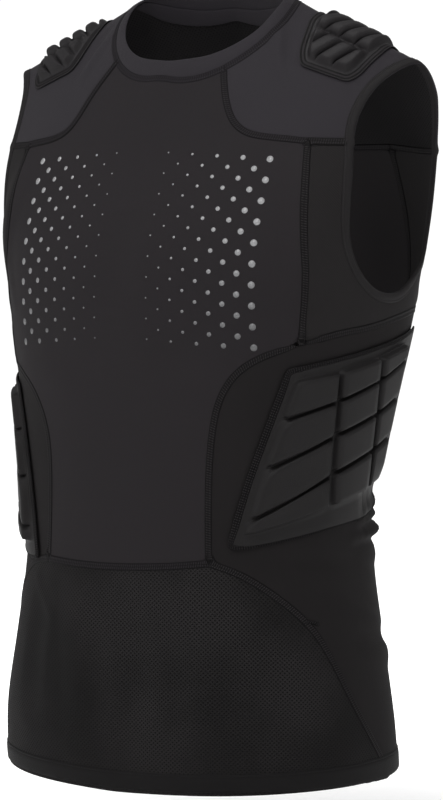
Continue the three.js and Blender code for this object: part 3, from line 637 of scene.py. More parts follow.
# A short bar of dense stitches ties the slanting seam off on the wearer's left.
tack_bm = bmesh.new()
tack_line = smooth_line(
    [from_middle(59.6, -0.546), from_middle(61.6, -0.547), from_middle(63.8, -0.549)], 0.002)
band_along(tack_bm, tack_line, FLATLOCK, outside, widths=[0.4] * len(tack_line), lift=0.7)
seams.append(("front_hem_panel", "side_panel_left", threads_from(tack_bm, "seam_tack_left")))
print("seam triangles:", sum(len(p.vertices) - 2 for _, _, o in seams for p in o.data.polygons))

# %% [markdown]
# The armholes and the foot are finished by turning the cloth's own edge in and stitching it down.
# The fold is a strip that wraps the free edge, from the stitch line outside, over the edge, to the
# inside. It is a little fuller than the cloth, because there it lies double.

# %% Turned hems
def free_runs(node):
    """The free stretches of a panel's edge, each with the sewn corner at both its ends."""
    runs = []
    for loop in edge_loops[node]:
        free = [not neighbours_at(node, p) for p in loop]
        count = len(loop)
        for start in range(count):
            if not free[start] or free[start - 1]:
                continue
            run = [loop[start - 1]]
            k = start
            while free[k % count]:
                run.append(loop[k % count])
                k += 1
            runs.append(run + [loop[k % count]])
    return runs


def chained(pieces):
    """Joins the free runs of neighbouring panels, end to end, into one closed line."""
    chain = list(pieces.pop(0))
    while pieces:
        k = min(range(len(pieces)), key=lambda i: min((pieces[i][0] - chain[-1]).length,
                                                     (pieces[i][-1] - chain[-1]).length))
        piece = pieces.pop(k)
        if (piece[-1] - chain[-1]).length < (piece[0] - chain[-1]).length:
            piece = piece[::-1]
        chain[-1] = (chain[-1] + piece[0]) / 2
        chain += piece[1:]
    gap = (chain[0] - chain[-1]).length
    chain[0] = (chain[0] + chain[-1]) / 2
    return chain[:-1], gap


ARMHOLE_HEM = [(8.6, -0.25), (8.2, 0.15), (7.7, 0.5), (7.2, 0.25), (6.7, 0.15), (6.2, 0.3), (5.4, 0.6),
               (4.0, 0.75), (2.6, 0.75), (1.2, 0.65), (0.2, 0.45)]
FOOT_HEM = [(19.8, -0.25), (19.4, 0.1), (18.9, 0.5), (18.4, 0.3), (17.9, 0.1), (17.4, 0.3), (16.4, 0.7),
            (14, 0.85), (11, 0.8), (8, 0.8), (5, 0.8), (2.5, 0.8), (0.8, 0.6), (0.1, 0.35)]


def hem_round(name, line, profile, step):
    """A strip from the outside stitch line over the free edge and back up inside, as a closed ring."""
    line = smooth_line(line, step, closed=True)
    rows = len(line) - 1
    full = [(o, h, outside) for o, h in profile] + [(o, h * 0.7, inside) for o, h in profile[::-1]]
    bm = bmesh.new()
    made = bmesh.ops.create_grid(bm, x_segments=len(full) - 1, y_segments=rows, size=1)
    uv = bm.loops.layers.uv.new("along")
    lengths = [0]
    for a, b in zip(line, line[1:]):
        lengths.append(lengths[-1] + (b - a).length)
    frames = []
    for j, p in enumerate(line):
        tangent = line[(j + 1) % rows] - line[(j - 1) % rows]
        inwards = tangent.cross(away_from_middle(p)).normalized()
        ahead, behind = (outside.find_nearest(p + inwards * d) for d in (0.012, -0.012))
        if (ahead[0] - p).length < (behind[0] - p).length:
            inwards, ahead = -inwards, behind
        normal = ahead[1]
        across = tangent.cross(normal)
        frames.append((normal, across.normalized() * (1 if across.dot(inwards) > 0 else -1)))
    place = {}
    for vert in made["verts"]:
        i = round((vert.co.x + 1) / 2 * (len(full) - 1))
        j = round((vert.co.y + 1) / 2 * rows)
        place[vert] = (i, j)
    for vert, (i, j) in place.items():
        normal, inwards = frames[j]
        offset, height, tree = full[i]
        start = line[j] if tree is outside else line[j] - normal * CLOTH_WALL
        at, face_normal = tree.find_nearest(start + inwards * (offset * MM))[:2]
        vert.co = at + face_normal * (height * MM) - inwards * (0.5 * MM if offset < 0.5 else 0)
    for face in bm.faces:
        for loop in face.loops:
            i, j = place[loop.vert]
            loop[uv].uv = (lengths[j], full[i][0] * MM * (1 if full[i][2] is outside else -1))
    return threads_from(bm, name, 0.4, closed=True)


HEM_OF = {
    "armhole_hem_left": ["chest_side_left", "yoke"],
    "armhole_hem_right": ["chest_side_right", "yoke"],
    "foot_hem": ["front_hem_panel", "side_panel_left", "back_panel", "side_panel_right"],
}
hems = {}
for name, nodes in HEM_OF.items():
    profile = FOOT_HEM if name == "foot_hem" else ARMHOLE_HEM
    runs = []
    for node in nodes:
        for run in free_runs(node):
            if "armhole" in name and (run[len(run) // 2].x > 0) != ("left" in name):
                continue
            runs.append(run)
    print(name, "runs", [len(r) for r in runs])
    ring, gap = chained(runs)
    hems[name] = hem_round(name, ring, profile, 0.003)
    print(name, "ring", len(ring), "gap", round(gap * 1000, 2), "mm")

# %% [markdown]
# The pads are foam, moulded into blocks under a stretched skin. Each one starts from its frame
# solid, with its triangles paired. On the rib pads the blocks' edges get a half crease, so that the
# tops stay flat with soft bevelled flanks, and a Subdivision Surface rounds the rest. Foam this thin
# keeps its moulded form, so no cloth simulation is needed.
#
# The shoulder pads' ribs slant: they run outwards as they go back, in three rows, with the middle
# row half a rib out of step. The frame has them straight, so the skin is first pressed flat to the
# sewn border's thickness, rounded, and then raised again by the slanting ribs.

# %% Moulded pads
def pad_skins(bm):
    layer = bm.faces.layers.int.new("skin")
    for face in bm.faces:
        normal = flat_outside.find_nearest(face.calc_center_median())[1]
        facing = face.normal.dot(normal)
        face[layer] = RIM if abs(facing) < 0.2 else (OUTER if facing > 0 else INNER)
    return layer


def widen_blocks(bm, skin, share):
    """Moves the blocks' top edges out over their flanks, which leaves narrow grooves."""
    height, normals = {}, {}
    for vert in bm.verts:
        if all(f[skin] == OUTER for f in vert.link_faces):
            at, normals[vert], _, height[vert] = flat_outside.find_nearest(vert.co)
    raised = {v for v, h in height.items() if h > 0.6 * max(height.values())}
    moves = {}
    for vert in raised:
        low = [e.other_vert(vert) for e in vert.link_edges if e.other_vert(vert) not in raised]
        move = sum(((v.co - vert.co) * share for v in low), Vector())
        moves[vert] = move - normals[vert] * move.dot(normals[vert])
    for vert, move in moves.items():
        vert.co += move


def crease_blocks(bm, skin):
    crease = bm.edges.layers.float.new("crease_edge")
    for edge in bm.edges:
        if len(edge.link_faces) == 2 and all(f[skin] == OUTER for f in edge.link_faces):
            bend = math.degrees(edge.calc_face_angle(0))
            edge[crease] = 0.55 if bend > 24 else 0


def press_flat(bm, skin):
    for vert in bm.verts:
        if all(f[skin] == OUTER for f in vert.link_faces):
            at, normal, _, height = flat_outside.find_nearest(vert.co)
            vert.co = at + normal * min(height, FLAT_PAD * MM)


FLAT_PAD = 2.4
RIB_PITCH = 14.5
RIB_SLANT = {"left": 0.48, "right": 0.72}
RIB_ROWS = (-62, -23, 16, 56)
RIB_HEIGHT = 7.2
SHOULDER_MIDDLE = 8
SHOULDER_ROUND = 52


def rib_height(across, along, from_edge, slant):
    row = sum(along > start for start in RIB_ROWS[1:-1])
    in_row = min(max((along - RIB_ROWS[row]) / (RIB_ROWS[row + 1] - RIB_ROWS[row]), 0), 1)
    step = (across - slant * along) / RIB_PITCH + (0.5 if row == 1 else 0)
    loaf = (1 - abs(2 * (step % 1) - 1) ** 3.4) ** 0.7
    ends = 1 - abs(2 * in_row - 1) ** 6
    border = min(max((from_edge - 7.5) / 4.5, 0), 1)
    return RIB_HEIGHT * loaf * ends * border * border * (3 - 2 * border)


def raise_ribs(obj, border, slant):
    """Raises the outer skin by the ribs, measured across the shoulder and along it from front to back."""
    edge = KDTree(len(border))
    for i, p in enumerate(border):
        edge.insert(p, i)
    edge.balance()
    mesh = obj.data
    kinds = mesh.attributes["skin"].data
    outer = {i for p in mesh.polygons if kinds[p.index].value == OUTER for i in p.vertices}
    for i in sorted(outer):
        p = mesh.vertices[i].co.copy()
        at, normal = flat_outside.find_nearest(p)[:2]
        crest = from_above(p.x, SHOULDER_MIDDLE * MM).z
        turn = math.atan2(p.y - SHOULDER_MIDDLE * MM, p.z - crest + SHOULDER_ROUND * MM)
        height = rib_height(abs(p.x) / MM, turn * SHOULDER_ROUND, edge.find(p)[2] / MM, slant)
        mesh.vertices[i].co = p + normal * (height * MM)
    mesh.update()


def moulded(node):
    ribbed = "shoulder" in node
    bm = merged_copy(node)
    skin = pad_skins(bm)
    pair_triangles(bm, skin)
    loops = rim_loops(bm, skin)
    if ribbed:
        press_flat(bm, skin)
    else:
        widen_blocks(bm, skin, 0.5)
        crease_blocks(bm, skin)
    obj = piece_from(bm, node.replace("pad", "foam"))
    rounding = obj.modifiers.new("rounding", "SUBSURF")
    rounding.levels = rounding.render_levels = 3 if ribbed else 2
    bake_modifiers(obj)
    if ribbed:
        raise_ribs(obj, smooth_line(loops[0], 0.0025, closed=True), RIB_SLANT[node.split("_")[-1]])
    lay_folds(obj)
    print(obj.name, len(obj.data.polygons), "faces, border points", [len(loop) for loop in loops])
    return obj, loops[0]


pads, pad_borders = {}, {}
for node in PAD_NODES:
    pads[node], pad_borders[node] = moulded(node)

# %% [markdown]
# The pads are sewn down along their flat border. On the rib pads a wide cover stitch runs along the
# slanting front edge and round the lower corner, then thins out to a single row. The shoulder pads
# have two plain rows all the way round. These strips lie on the pads, so they ask the pads' own
# surface where it is.

# %% Stitches round the pads
WIDE_COVER = [(0.2, -0.3), (0.6, 0.2), (1.4, 0.45), (2.3, 0.2), (3.3, 0.45), (4.3, 0.2), (5.2, 0.45),
              (6.0, 0.4), (6.5, 0.15), (6.9, -0.3)]
TWO_ROWS = [(1.0, -0.25), (1.4, 0.12), (2.0, 0.3), (2.6, 0.12), (4.7, 0.08),
            (5.3, 0.3), (5.9, 0.12), (6.3, -0.25)]


def tree_of(obj):
    mesh = obj.data
    corners = [v.co.copy() for v in mesh.vertices]
    return BVHTree.FromPolygons(corners, [list(p.vertices) for p in mesh.polygons])


def towards_front(line):
    """For each point of a closed line, how much it faces the front of the body, from 0 to 1, evened out."""
    count = len(line) - 1
    middle = sum(line[:count], Vector()) / count
    shares = []
    for j in range(count):
        tangent = (line[(j + 1) % count] - line[j - 1]).normalized()
        outward = tangent.cross(away_from_middle(line[j])).normalized()
        if outward.dot(line[j] - middle) < 0:
            outward = -outward
        ahead = Vector((0, 0, 1)).cross(away_from_middle(line[j])).normalized()
        if ahead.y > 0:
            ahead = -ahead
        shares.append(min(max(outward.dot(ahead) * 1.7, 0), 1))
    reach = 8
    return [sum(shares[(j + k) % count] for k in range(-reach, reach + 1)) / (2 * reach + 1)
            for j in range(count)] + [0]


def sewn_border(node, profile, by_front):
    tree = tree_of(pads[node])
    line = smooth_line(pad_borders[node], 0.0025, closed=True)
    count = len(line) - 1
    middle = sum(line[:count], Vector()) / count
    across = (line[1] - line[-2]).cross(outside.find_nearest(line[0])[1])
    if across.dot(middle - line[0]) < 0:
        line = line[::-1]
    widths = None
    if by_front:
        widths = [0.34 + 0.66 * share for share in towards_front(line)]
        widths[-1] = widths[0]
    bm = bmesh.new()
    band_along(bm, line, profile, tree, widths=widths, closed=True, frame=outside)
    return threads_from(bm, node.replace("pad", "pad_stitches"), 0.3, closed=True)


pad_stitches = {}
for node in PAD_NODES:
    ribs = "rib" in node
    pad_stitches[node] = sewn_border(node, WIDE_COVER if ribs else TWO_ROWS, by_front=ribs)
    print(pad_stitches[node].name, len(pad_stitches[node].data.polygons), "faces")

# %% [markdown]
# Two fields of small foil dots are pressed on the chest. They stand in half-drop rows and grow from
# the middle of the chest outwards. Each dot is a circle dropped on the cloth and given a foil's
# thickness.

# %% Chest print
DOT_COLUMNS = 9
DOT_ROWS = 10


def foil_dots(name, side):
    bm = bmesh.new()
    count = 0
    for column in range(DOT_COLUMNS):
        share = column / (DOT_COLUMNS - 1)
        radius = (0.7 + 2.3 * share ** 1.3) * MM
        for row in range(DOT_ROWS - column % 2):
            x = side * (27 + 92 * share) * MM
            z = (-158 - 17.5 * (row + 0.5 * (column % 2)) + 6 * (1 - share)) * MM
            centre, normal = outside.ray_cast(Vector((x, -0.4, z)), Vector((0, 1, 0)))[:2]
            across = Vector((0, 0, 1)).cross(normal).normalized()
            up = normal.cross(across)
            made = bmesh.ops.create_circle(bm, cap_ends=True, segments=16, radius=radius)
            for vert in made["verts"]:
                at, face_normal = outside.find_nearest(centre + across * vert.co.x + up * vert.co.y)[:2]
                vert.co = at + face_normal * (0.16 * MM)
            count += 1
    obj = threads_from(bm, name, 0.12)
    print(name, count, "dots")
    return obj


chest_prints = [foil_dots("chest_print_left", 1), foil_dots("chest_print_right", -1)]

# %% [markdown]
# A weave has to follow the cloth, not the room. Each panel gets a UV map in metres: round the body
# and up it for the torso, across and over the shoulders for the yoke and the neckband. The distance
# round the body is added up once, along an oval of this shirt's own size.

# %% Weave maps
OVAL_WIDTH, OVAL_FRONT, OVAL_BACK, OVAL_POWER = 0.170, 0.132, 0.108, 2.4
oval_turns = np.radians(np.arange(0, 181))
oval_sum = np.sin(oval_turns) ** OVAL_POWER + np.abs(np.cos(oval_turns)) ** OVAL_POWER
oval_reach = oval_sum ** (-1 / OVAL_POWER)
oval_depth = np.where(oval_turns < math.pi / 2, OVAL_FRONT, OVAL_BACK)
oval = np.stack([
    OVAL_WIDTH * oval_reach * np.sin(oval_turns),
    oval_depth * oval_reach * np.cos(oval_turns)], 1)
oval_length = np.concatenate([[0], np.cumsum(np.linalg.norm(np.diff(oval, axis=0), axis=1))])


def map_weave(obj, over_the_shoulder):
    mesh = obj.data
    points = np.empty(len(mesh.vertices) * 3)
    mesh.vertices.foreach_get("co", points)
    x, y, z = points.reshape(-1, 3).T
    if over_the_shoulder:
        u = x
        v = np.sign(y) * np.sqrt(y ** 2 + (z + 0.02) ** 2)
    else:
        turn = np.abs(np.arctan2(x, -(y - BODY_DEPTH) * OVAL_WIDTH / OVAL_FRONT))
        length = np.interp(turn, oval_turns, oval_length)
        u = np.sign(x) * (length - (oval_length[-1] if "back" in obj.name else 0))
        v = z
    corners = np.empty(len(mesh.loops), dtype=np.int32)
    mesh.loops.foreach_get("vertex_index", corners)
    layer = mesh.uv_layers.new(name="cloth")
    layer.data.foreach_set("uv", np.stack([u[corners], v[corners]], 1).ravel())
    return u.max() - u.min(), v.max() - v.min()


for node in CLOTH_NODES:
    wide, high = map_weave(cloth[node], node in ("yoke", "neckband", "neck_tape"))
    print(node, "weave map", round(wide, 3), "by", round(high, 3), "m")

# %% [markdown]
# The finishes are built from nodes. A small class wraps a node's output, so that the sums can be
# written as plain Python, and one method adds any other node with its settings and its inputs.

# %% Writing shaders as sums
class Value:
    def __init__(self, finish, socket):
        self.finish = finish
        self.socket = socket

    def sum(self, operation, *others, clamp=False):
        inputs = dict(enumerate((self,) + others))
        return self.finish.add("ShaderNodeMath", {"operation": operation, "use_clamp": clamp}, inputs)

    def __add__(self, other):
        return self.sum("ADD", other)

    def __radd__(self, other):
        return self.sum("ADD", other)

    def __sub__(self, other):
        return self.sum("SUBTRACT", other)

    def __rsub__(self, other):
        return self.finish.number(other).sum("SUBTRACT", self)

    def __mul__(self, other):
        return self.sum("MULTIPLY", other)

    def __rmul__(self, other):
        return self.sum("MULTIPLY", other)

    def __truediv__(self, other):
        return self.sum("DIVIDE", other)

    def __gt__(self, other):
        return self.sum("GREATER_THAN", other)

    def __lt__(self, other):
        return self.sum("LESS_THAN", other)

    def __abs__(self):
        return self.sum("ABSOLUTE")

    def sine(self):
        return self.sum("SINE")

    def fraction(self):
        return self.sum("FRACT")

    def between(self, low, high):
        """0 below low, 1 above high and an even rise between them."""
        settings = {"interpolation_type": "SMOOTHSTEP"}
        sockets = {"Value": self, "From Min": low, "From Max": high}
        return self.finish.add("ShaderNodeMapRange", settings, sockets)


class Finish:
    def __init__(self, name, **fixed):
        self.material = bpy.data.materials.new(name)
        self.material.use_nodes = True
        self.tree = self.material.node_tree
        self.shader = self.tree.nodes["Principled BSDF"]
        for key, number in fixed.items():
            self.shader.inputs[key.replace("_", " ")].default_value = number

    def add(self, kind, settings=None, inputs=None, output=0):
        node = self.tree.nodes.new(kind)
        for key, setting in (settings or {}).items():
            setattr(node, key, setting)
        for key, value in (inputs or {}).items():
            socket = node.inputs[key]
            if isinstance(value, Value):
                self.tree.links.new(value.socket, socket)
            else:
                socket.default_value = value
        return Value(self, node.outputs[output])

    def number(self, value):
        return self.add("ShaderNodeMath", {"operation": "ADD"}, {0: value, 1: 0.0})

    def weave(self, name="cloth"):
        uv = self.add("ShaderNodeUVMap", {"uv_map": name})
        return [self.add("ShaderNodeSeparateXYZ", None, {0: uv}, output=i) for i in range(2)]

    def cloudy(self, scale, detail=2.0):
        """Soft noise over the object, from 0 to 1."""
        place = self.add("ShaderNodeTexCoord", None, None, output=3)
        return self.add("ShaderNodeTexNoise", None, {"Vector": place, "Scale": scale, "Detail": detail})

    def blend(self, share, first, second):
        settings = {"data_type": "RGBA"}
        inputs = {0: share, 6: (*first, 1) if isinstance(first, tuple) else first,
                  7: (*second, 1) if isinstance(second, tuple) else second}
        return self.add("ShaderNodeMix", settings, inputs, output=2)

    def colour(self, value):
        self.tree.links.new(value.socket, self.shader.inputs["Base Color"])

    def roughness(self, value):
        self.tree.links.new(value.socket, self.shader.inputs["Roughness"])

    def relief(self, height, depth, strength=1.0):
        """Bumps from a height of 0 to 1, that stand for this many millimetres."""
        inputs = {"Height": height, "Distance": depth * MM, "Strength": strength}
        bump = self.add("ShaderNodeBump", None, inputs)
        self.tree.links.new(bump.socket, self.shader.inputs["Normal"])


TURN = 2 * math.pi


def knit_height(finish, u, v, wale, course):
    """Fine V-shaped loops: upright wales, with courses that lean one way and then the other."""
    wales = abs((u * (TURN / 2 / (wale * MM))).sine())
    lean = (u * (TURN / (wale * MM))).sine() * 1.2
    courses = (v * (TURN / (course * MM)) + lean).sine() * 0.5 + 0.5
    return wales * 0.6 + courses * 0.4


# %% [markdown]
# The yoke and the neckband are a smooth, slightly shiny compression knit, a little lighter than the
# rest. The front and back are the same yarn in a duller face. All the knits are so fine that at
# arm's length they read as a soft grain, with faint clouds where the yarn took the dye unevenly.

# %% Smooth knits
def smooth_knit(name, dark, light, sheen, wale=0.55, course=0.42, depth=0.10, rough=0.7):
    finish = Finish(name, Roughness=rough, IOR=1.22, Sheen_Weight=sheen,
                    Sheen_Roughness=0.45)
    u, v = finish.weave()
    loops = knit_height(finish, u, v, wale, course)
    clouds = finish.cloudy(9.0, 4.0)
    grain = finish.cloudy(700.0, 1.0)
    share = clouds * 0.55 + loops * 0.25 + grain * 0.3 - 0.05
    finish.colour(finish.blend(share, dark, light))
    finish.roughness(clouds * 0.12 + (rough - 0.06))
    finish.relief(loops + grain * 0.5, depth)
    return finish.material


YOKE_KNIT = smooth_knit("smooth_knit", (0.0090, 0.0078, 0.0096), (0.0176, 0.0153, 0.0188), 0.02)
FRONT_KNIT = smooth_knit("front_knit", (0.0066, 0.0055, 0.0063), (0.0138, 0.0116, 0.0131), 0.0, rough=0.78)
BACK_KNIT = smooth_knit("back_knit", (0.0062, 0.0053, 0.0058), (0.0128, 0.0110, 0.0120), 0.0, rough=0.78)

# %% [markdown]
# The side pieces are darker. Round the armhole the knit has fine slanting ribs; the panel under the
# pads is a dull, dense tricot.

# %% Side knits
def ribbed_knit(name, dark, light, rib, depth, sheen):
    finish = Finish(name, Roughness=0.8, IOR=1.2, Sheen_Weight=sheen, Sheen_Roughness=0.5)
    u, v = finish.weave()
    ribs = ((u * 0.8 + v * 0.6) * (TURN / (rib * MM))).sine() * 0.5 + 0.5
    loops = knit_height(finish, u, v, 0.5, 0.45)
    clouds = finish.cloudy(11.0, 4.0)
    share = clouds * 0.5 + ribs * 0.35 + loops * 0.15
    finish.colour(finish.blend(share, dark, light))
    finish.relief(ribs * 0.75 + loops * 0.25, depth)
    return finish.material


CHEST_SIDE_KNIT = ribbed_knit(
    "chest_side_knit", (0.0056, 0.0049, 0.0051), (0.0122, 0.0110, 0.0113), 1.5, 0.14, 0.0)
SIDE_PANEL_KNIT = ribbed_knit(
    "side_panel_knit", (0.0040, 0.0034, 0.0036), (0.0092, 0.0080, 0.0083), 0.9, 0.08, 0.0)

# %% [markdown]
# Below the waist seam the front is a mesh knit. Its pores lie on slanting lines about two and a half
# millimetres apart, each one a small pit with a soft rim, drawn dark with painted shade.

# %% Mesh knit
def mesh_knit(name, dark, light):
    finish = Finish(name, Roughness=0.8, IOR=1.2, Sheen_Weight=0.0, Sheen_Roughness=0.5)
    u, v = finish.weave()
    pitch = 2.5 * MM
    a = (u + v) * (TURN / pitch / 1.4142)
    b = (u - v) * (TURN / pitch / 1.4142)
    pores = (a.sine() + b.sine()) * 0.25 + 0.5
    pits_and_painted_shade = pores.between(0.58, 0.80)
    loops = knit_height(finish, u, v, 0.6, 0.5)
    clouds = finish.cloudy(8.0, 3.0)
    patches = clouds.between(0.36, 0.64)
    # The pits are drawn up to 90% darker than the knit round them: painted shade in the pores.
    share = (patches * 0.35 + clouds * 0.3 + loops * 0.2 + 0.05) * (1 - pits_and_painted_shade * 0.9)
    finish.colour(finish.blend(share, dark, light))
    finish.roughness(pits_and_painted_shade * 0.15 + 0.76)
    finish.relief((1 - pits_and_painted_shade) * 0.8 + loops * 0.2, 0.3)
    return finish.material


HEM_MESH = mesh_knit("hem_mesh", (0.0010, 0.0009, 0.0009), (0.0150, 0.0136, 0.0140))
INNER_MESH = mesh_knit("inner_mesh", (0.0006, 0.0005, 0.0006), (0.0110, 0.0098, 0.0106))

# %% [markdown]
# The pads' skin is a thin brushed tricot, moulded over foam. It shines a little on the blocks' worn
# edges and lies dark in the grooves.

# %% Pad skin
def pad_skin(name, dark, light):
    finish = Finish(name, Roughness=0.55, IOR=1.24, Sheen_Weight=0.0, Sheen_Roughness=0.4)
    place = finish.add("ShaderNodeTexCoord", None, None, output=3)
    cells = finish.add("ShaderNodeTexVoronoi", {"feature": "F1"}, {"Vector": place, "Scale": 1150.0})
    clouds = finish.cloudy(14.0, 4.0)
    finish.colour(finish.blend(clouds * 0.7 + cells * 0.3, dark, light))
    finish.roughness(clouds * 0.16 + 0.5)
    finish.relief(cells, 0.12)
    return finish.material


RIB_PAD_SKIN = pad_skin("rib_pad_skin", (0.0032, 0.0028, 0.0029), (0.0084, 0.0074, 0.0077))
SHOULDER_PAD_SKIN = pad_skin("shoulder_pad_skin", (0.0060, 0.0053, 0.0058), (0.0126, 0.0112, 0.0123))

# %% [markdown]
# The seam threads are textured polyester. The rails and rungs are drawn from the strip's own map:
# rungs every 1.3 mm across the seam, and a zigzag of looper thread between the rails. The gaps
# between the rungs, the middle channel and the strip's edges are drawn darker than the cloth:
# painted shade of the seam's depth.

# %% Seam threads
def ladder_thread(name, dark, light, rung=2.1, half=3.3):
    finish = Finish(name, Roughness=0.62, IOR=1.3, Specular_IOR_Level=0.12)
    u, v = finish.weave("along")
    across = abs(v) / (half * MM)
    rungs = (u * (TURN / (rung * MM)) + v * (TURN / (9 * MM))).sine().between(0.0, 0.7)
    inside_rails = 1 - across.between(0.55, 0.75)
    channel = 1 - across.between(0.05, 0.2)
    height = rungs * inside_rails * (1 - channel * 0.7)
    clouds = finish.cloudy(60.0)
    # The colour follows the relief: where the strip lies low it is painted dark, painted shade of the seam's
    # depth.
    finish.colour(finish.blend(height * 0.85 + clouds * 0.15, dark, light))
    finish.relief(height, 0.32)
    return finish.material


SEAM_THREAD = ladder_thread("seam_thread", (0.0032, 0.0028, 0.0032), (0.0200, 0.0178, 0.0198))
SIDE_SEAM_THREAD = ladder_thread("side_seam_thread", (0.0020, 0.0018, 0.0019), (0.0215, 0.0195, 0.0206))
NECK_THREAD = ladder_thread("neck_thread", (0.0066, 0.0058, 0.0068), (0.0180, 0.0160, 0.0184))


def cover_thread(name, dark, light, rows, rung=2.2):
    """Rows of looped thread at these distances from the pad's edge, dark between the loops."""
    finish = Finish(name, Roughness=0.6, IOR=1.3, Specular_IOR_Level=0.12)
    u, v = finish.weave("along")
    near_row = finish.number(0)
    for row in rows:
        near_row = near_row + (1 - abs(v - row * MM).between(0.35 * MM, 0.9 * MM))
    loops = (u * (TURN / (rung * MM))).sine().between(0.0, 0.8)
    clouds = finish.cloudy(60.0)
    height = near_row * loops
    # Between the loops and rows the strip is painted near-black, darker than the pad's skin under it:
    # painted shade.
    finish.colour(finish.blend(height * 0.9 + clouds * 0.1, dark, light))
    finish.relief(height, 0.35)
    return finish.material


def border_rows(name, pad, thread, rows):
    """The pad's own skin, with a sunken dark row of stitches at each of these distances."""
    finish = Finish(name, Roughness=0.6, IOR=1.22, Specular_IOR_Level=0.3)
    u, v = finish.weave("along")
    near_row = finish.number(0)
    for row in rows:
        near_row = near_row + (1 - abs(v - row * MM).between(0.4 * MM, 0.9 * MM))
    stitch = (u * (TURN / (2.8 * MM))).sine() * 0.5 + 0.5
    # The rows are painted near-black, far darker than the pad's skin: black thread, with painted shade where
    # the stitches sink the skin.
    finish.colour(finish.blend(near_row * (stitch * 0.2 + 0.8), pad, thread))
    finish.relief(1 - near_row * 0.8, 0.4)
    return finish.material


COVER_THREAD = cover_thread(
    "cover_thread", (0.0006, 0.0005, 0.0006), (0.0230, 0.0210, 0.0220), (1.4, 3.3, 5.4))
BORDER_ROWS = border_rows("pad_border_rows", (0.0120, 0.0106, 0.0116), (0.0004, 0.0004, 0.0004), (2.0, 5.3))

# %% [markdown]
# A turned hem is the panel's own cloth, held by a row of lockstitches: thread for two and a half
# millimetres, then a dip where the needle went in. Between the stitches the row is drawn darker,
# painted shade in the dips. The foot's fold is drawn much darker than the panels it is turned from:
# painted shade, for the foot faces down, away from the lights.

# %% Stitched hems
def stitched_hem(name, dark, light, row, pores=False):
    finish = Finish(name, Roughness=0.66, IOR=1.2, Sheen_Weight=0.0, Sheen_Roughness=0.5)
    u, v = finish.weave("along")
    loops = knit_height(finish, u, v, 0.55, 0.45)
    clouds = finish.cloudy(9.0, 3.0)
    on_row = 1 - abs(abs(v) - row * MM).between(0.25 * MM, 0.6 * MM)
    stitch = (u / (2.9 * MM)).fraction()
    thread = (1 - abs(stitch - 0.5).between(0.36, 0.46)) * on_row
    share = clouds * 0.5 + loops * 0.3
    # Between the stitches the row is drawn 60% darker: painted shade in the needle dips.
    finish.colour(finish.blend(share * (1 - on_row * 0.6) + thread * 0.9, dark, light))
    finish.relief(loops * 0.2 + thread * 0.8 - on_row * 0.3, 0.3)
    return finish.material


ARMHOLE_FOLD = stitched_hem("armhole_fold", (0.0045, 0.0040, 0.0042), (0.0125, 0.0112, 0.0118), 7.2)
# The foot's fold is drawn much darker than the panels it is turned from: painted shade under the foot.
FOOT_FOLD_IN_PAINTED_SHADE = stitched_hem("foot_fold_painted_shade", (0.0016, 0.0014, 0.0015), (0.0064, 0.0057, 0.0060), 18.4)


# %% [markdown]
# The print is a thin silver-grey foil: a little metallic, matt, and duller where it has worn.

# %% Foil
def foil():
    finish = Finish("print_foil", Specular_IOR_Level=0.5)
    wear = finish.cloudy(420.0, 3.0)
    place = finish.add("ShaderNodeTexCoord", None, None, output=3)
    height = finish.add("ShaderNodeSeparateXYZ", None, {0: place}, output=2).between(-0.33, -0.19)
    finish.colour(finish.blend(height * 0.8 + wear * 0.3, (0.055, 0.055, 0.057), (0.25, 0.25, 0.255)))
    finish.roughness(wear * 0.2 + 0.40)
    finish.tree.links.new((wear * 0.2 + 0.25).socket, finish.shader.inputs["Metallic"])
    return finish.material


FOIL = foil()


# %% Dressing the pieces
def dress(obj, material):
    obj.data.materials.clear()
    obj.data.materials.append(material)


CLOTH_FINISH = {
    "front_center": FRONT_KNIT,
    "back_panel": BACK_KNIT,
    "front_hem_panel": HEM_MESH,
    "yoke": YOKE_KNIT,
    "neckband": YOKE_KNIT,
    "neck_tape": YOKE_KNIT,
    "chest_side_left": CHEST_SIDE_KNIT,
    "chest_side_right": CHEST_SIDE_KNIT,
    "side_panel_left": SIDE_PANEL_KNIT,
    "side_panel_right": SIDE_PANEL_KNIT,
}
for node, material in CLOTH_FINISH.items():
    dress(cloth[node], material)
# The yoke is lined with a fine mesh, seen inside the neck.
cloth["yoke"].data.materials.append(INNER_MESH)
for face, kind in zip(cloth["yoke"].data.polygons, cloth["yoke"].data.attributes["skin"].data):
    face.material_index = 1 if kind.value == INNER else 0
for node, pad in pads.items():
    dress(pad, RIB_PAD_SKIN if "rib" in node else SHOULDER_PAD_SKIN)
for node, other, obj in seams:
    side_thread = SIDE_SEAM_THREAD if "side" in node + other else SEAM_THREAD
    dress(obj, NECK_THREAD if node == "neckband" else side_thread)
for node, obj in pad_stitches.items():
    dress(obj, COVER_THREAD if "rib" in node else BORDER_ROWS)
for obj in chest_prints:
    dress(obj, FOIL)
for name, obj in hems.items():
    dress(obj, FOOT_FOLD_IN_PAINTED_SHADE if name == "foot_hem" else ARMHOLE_FOLD)

# %% [markdown]
# Every piece rides on the frame's one body, and the frame's solids it replaces are hidden. Each sheet
# of cloth prints its measured area beside the area it was cut to.

# %% Joining the frame
# width and length of the cut, and its area, in metres
CUT = {
    "front_center": (0.304, 0.430, 0.098),
    "back_panel": (0.320, 0.560, 0.140),
    "front_hem_panel": (0.460, 0.200, 0.072),
    "yoke": (0.460, 0.330, 0.082),
    "neckband": (0.520, 0.017, 0.0080),
    "neck_tape": (0.200, 0.014, 0.0026),
    "chest_side_left": (0.210, 0.160, 0.018),
    "chest_side_right": (0.210, 0.160, 0.018),
    "side_panel_left": (0.300, 0.420, 0.075),
    "side_panel_right": (0.300, 0.420, 0.075),
}


def area_of(obj):
    return sum(p.area for p in obj.data.polygons) / 2


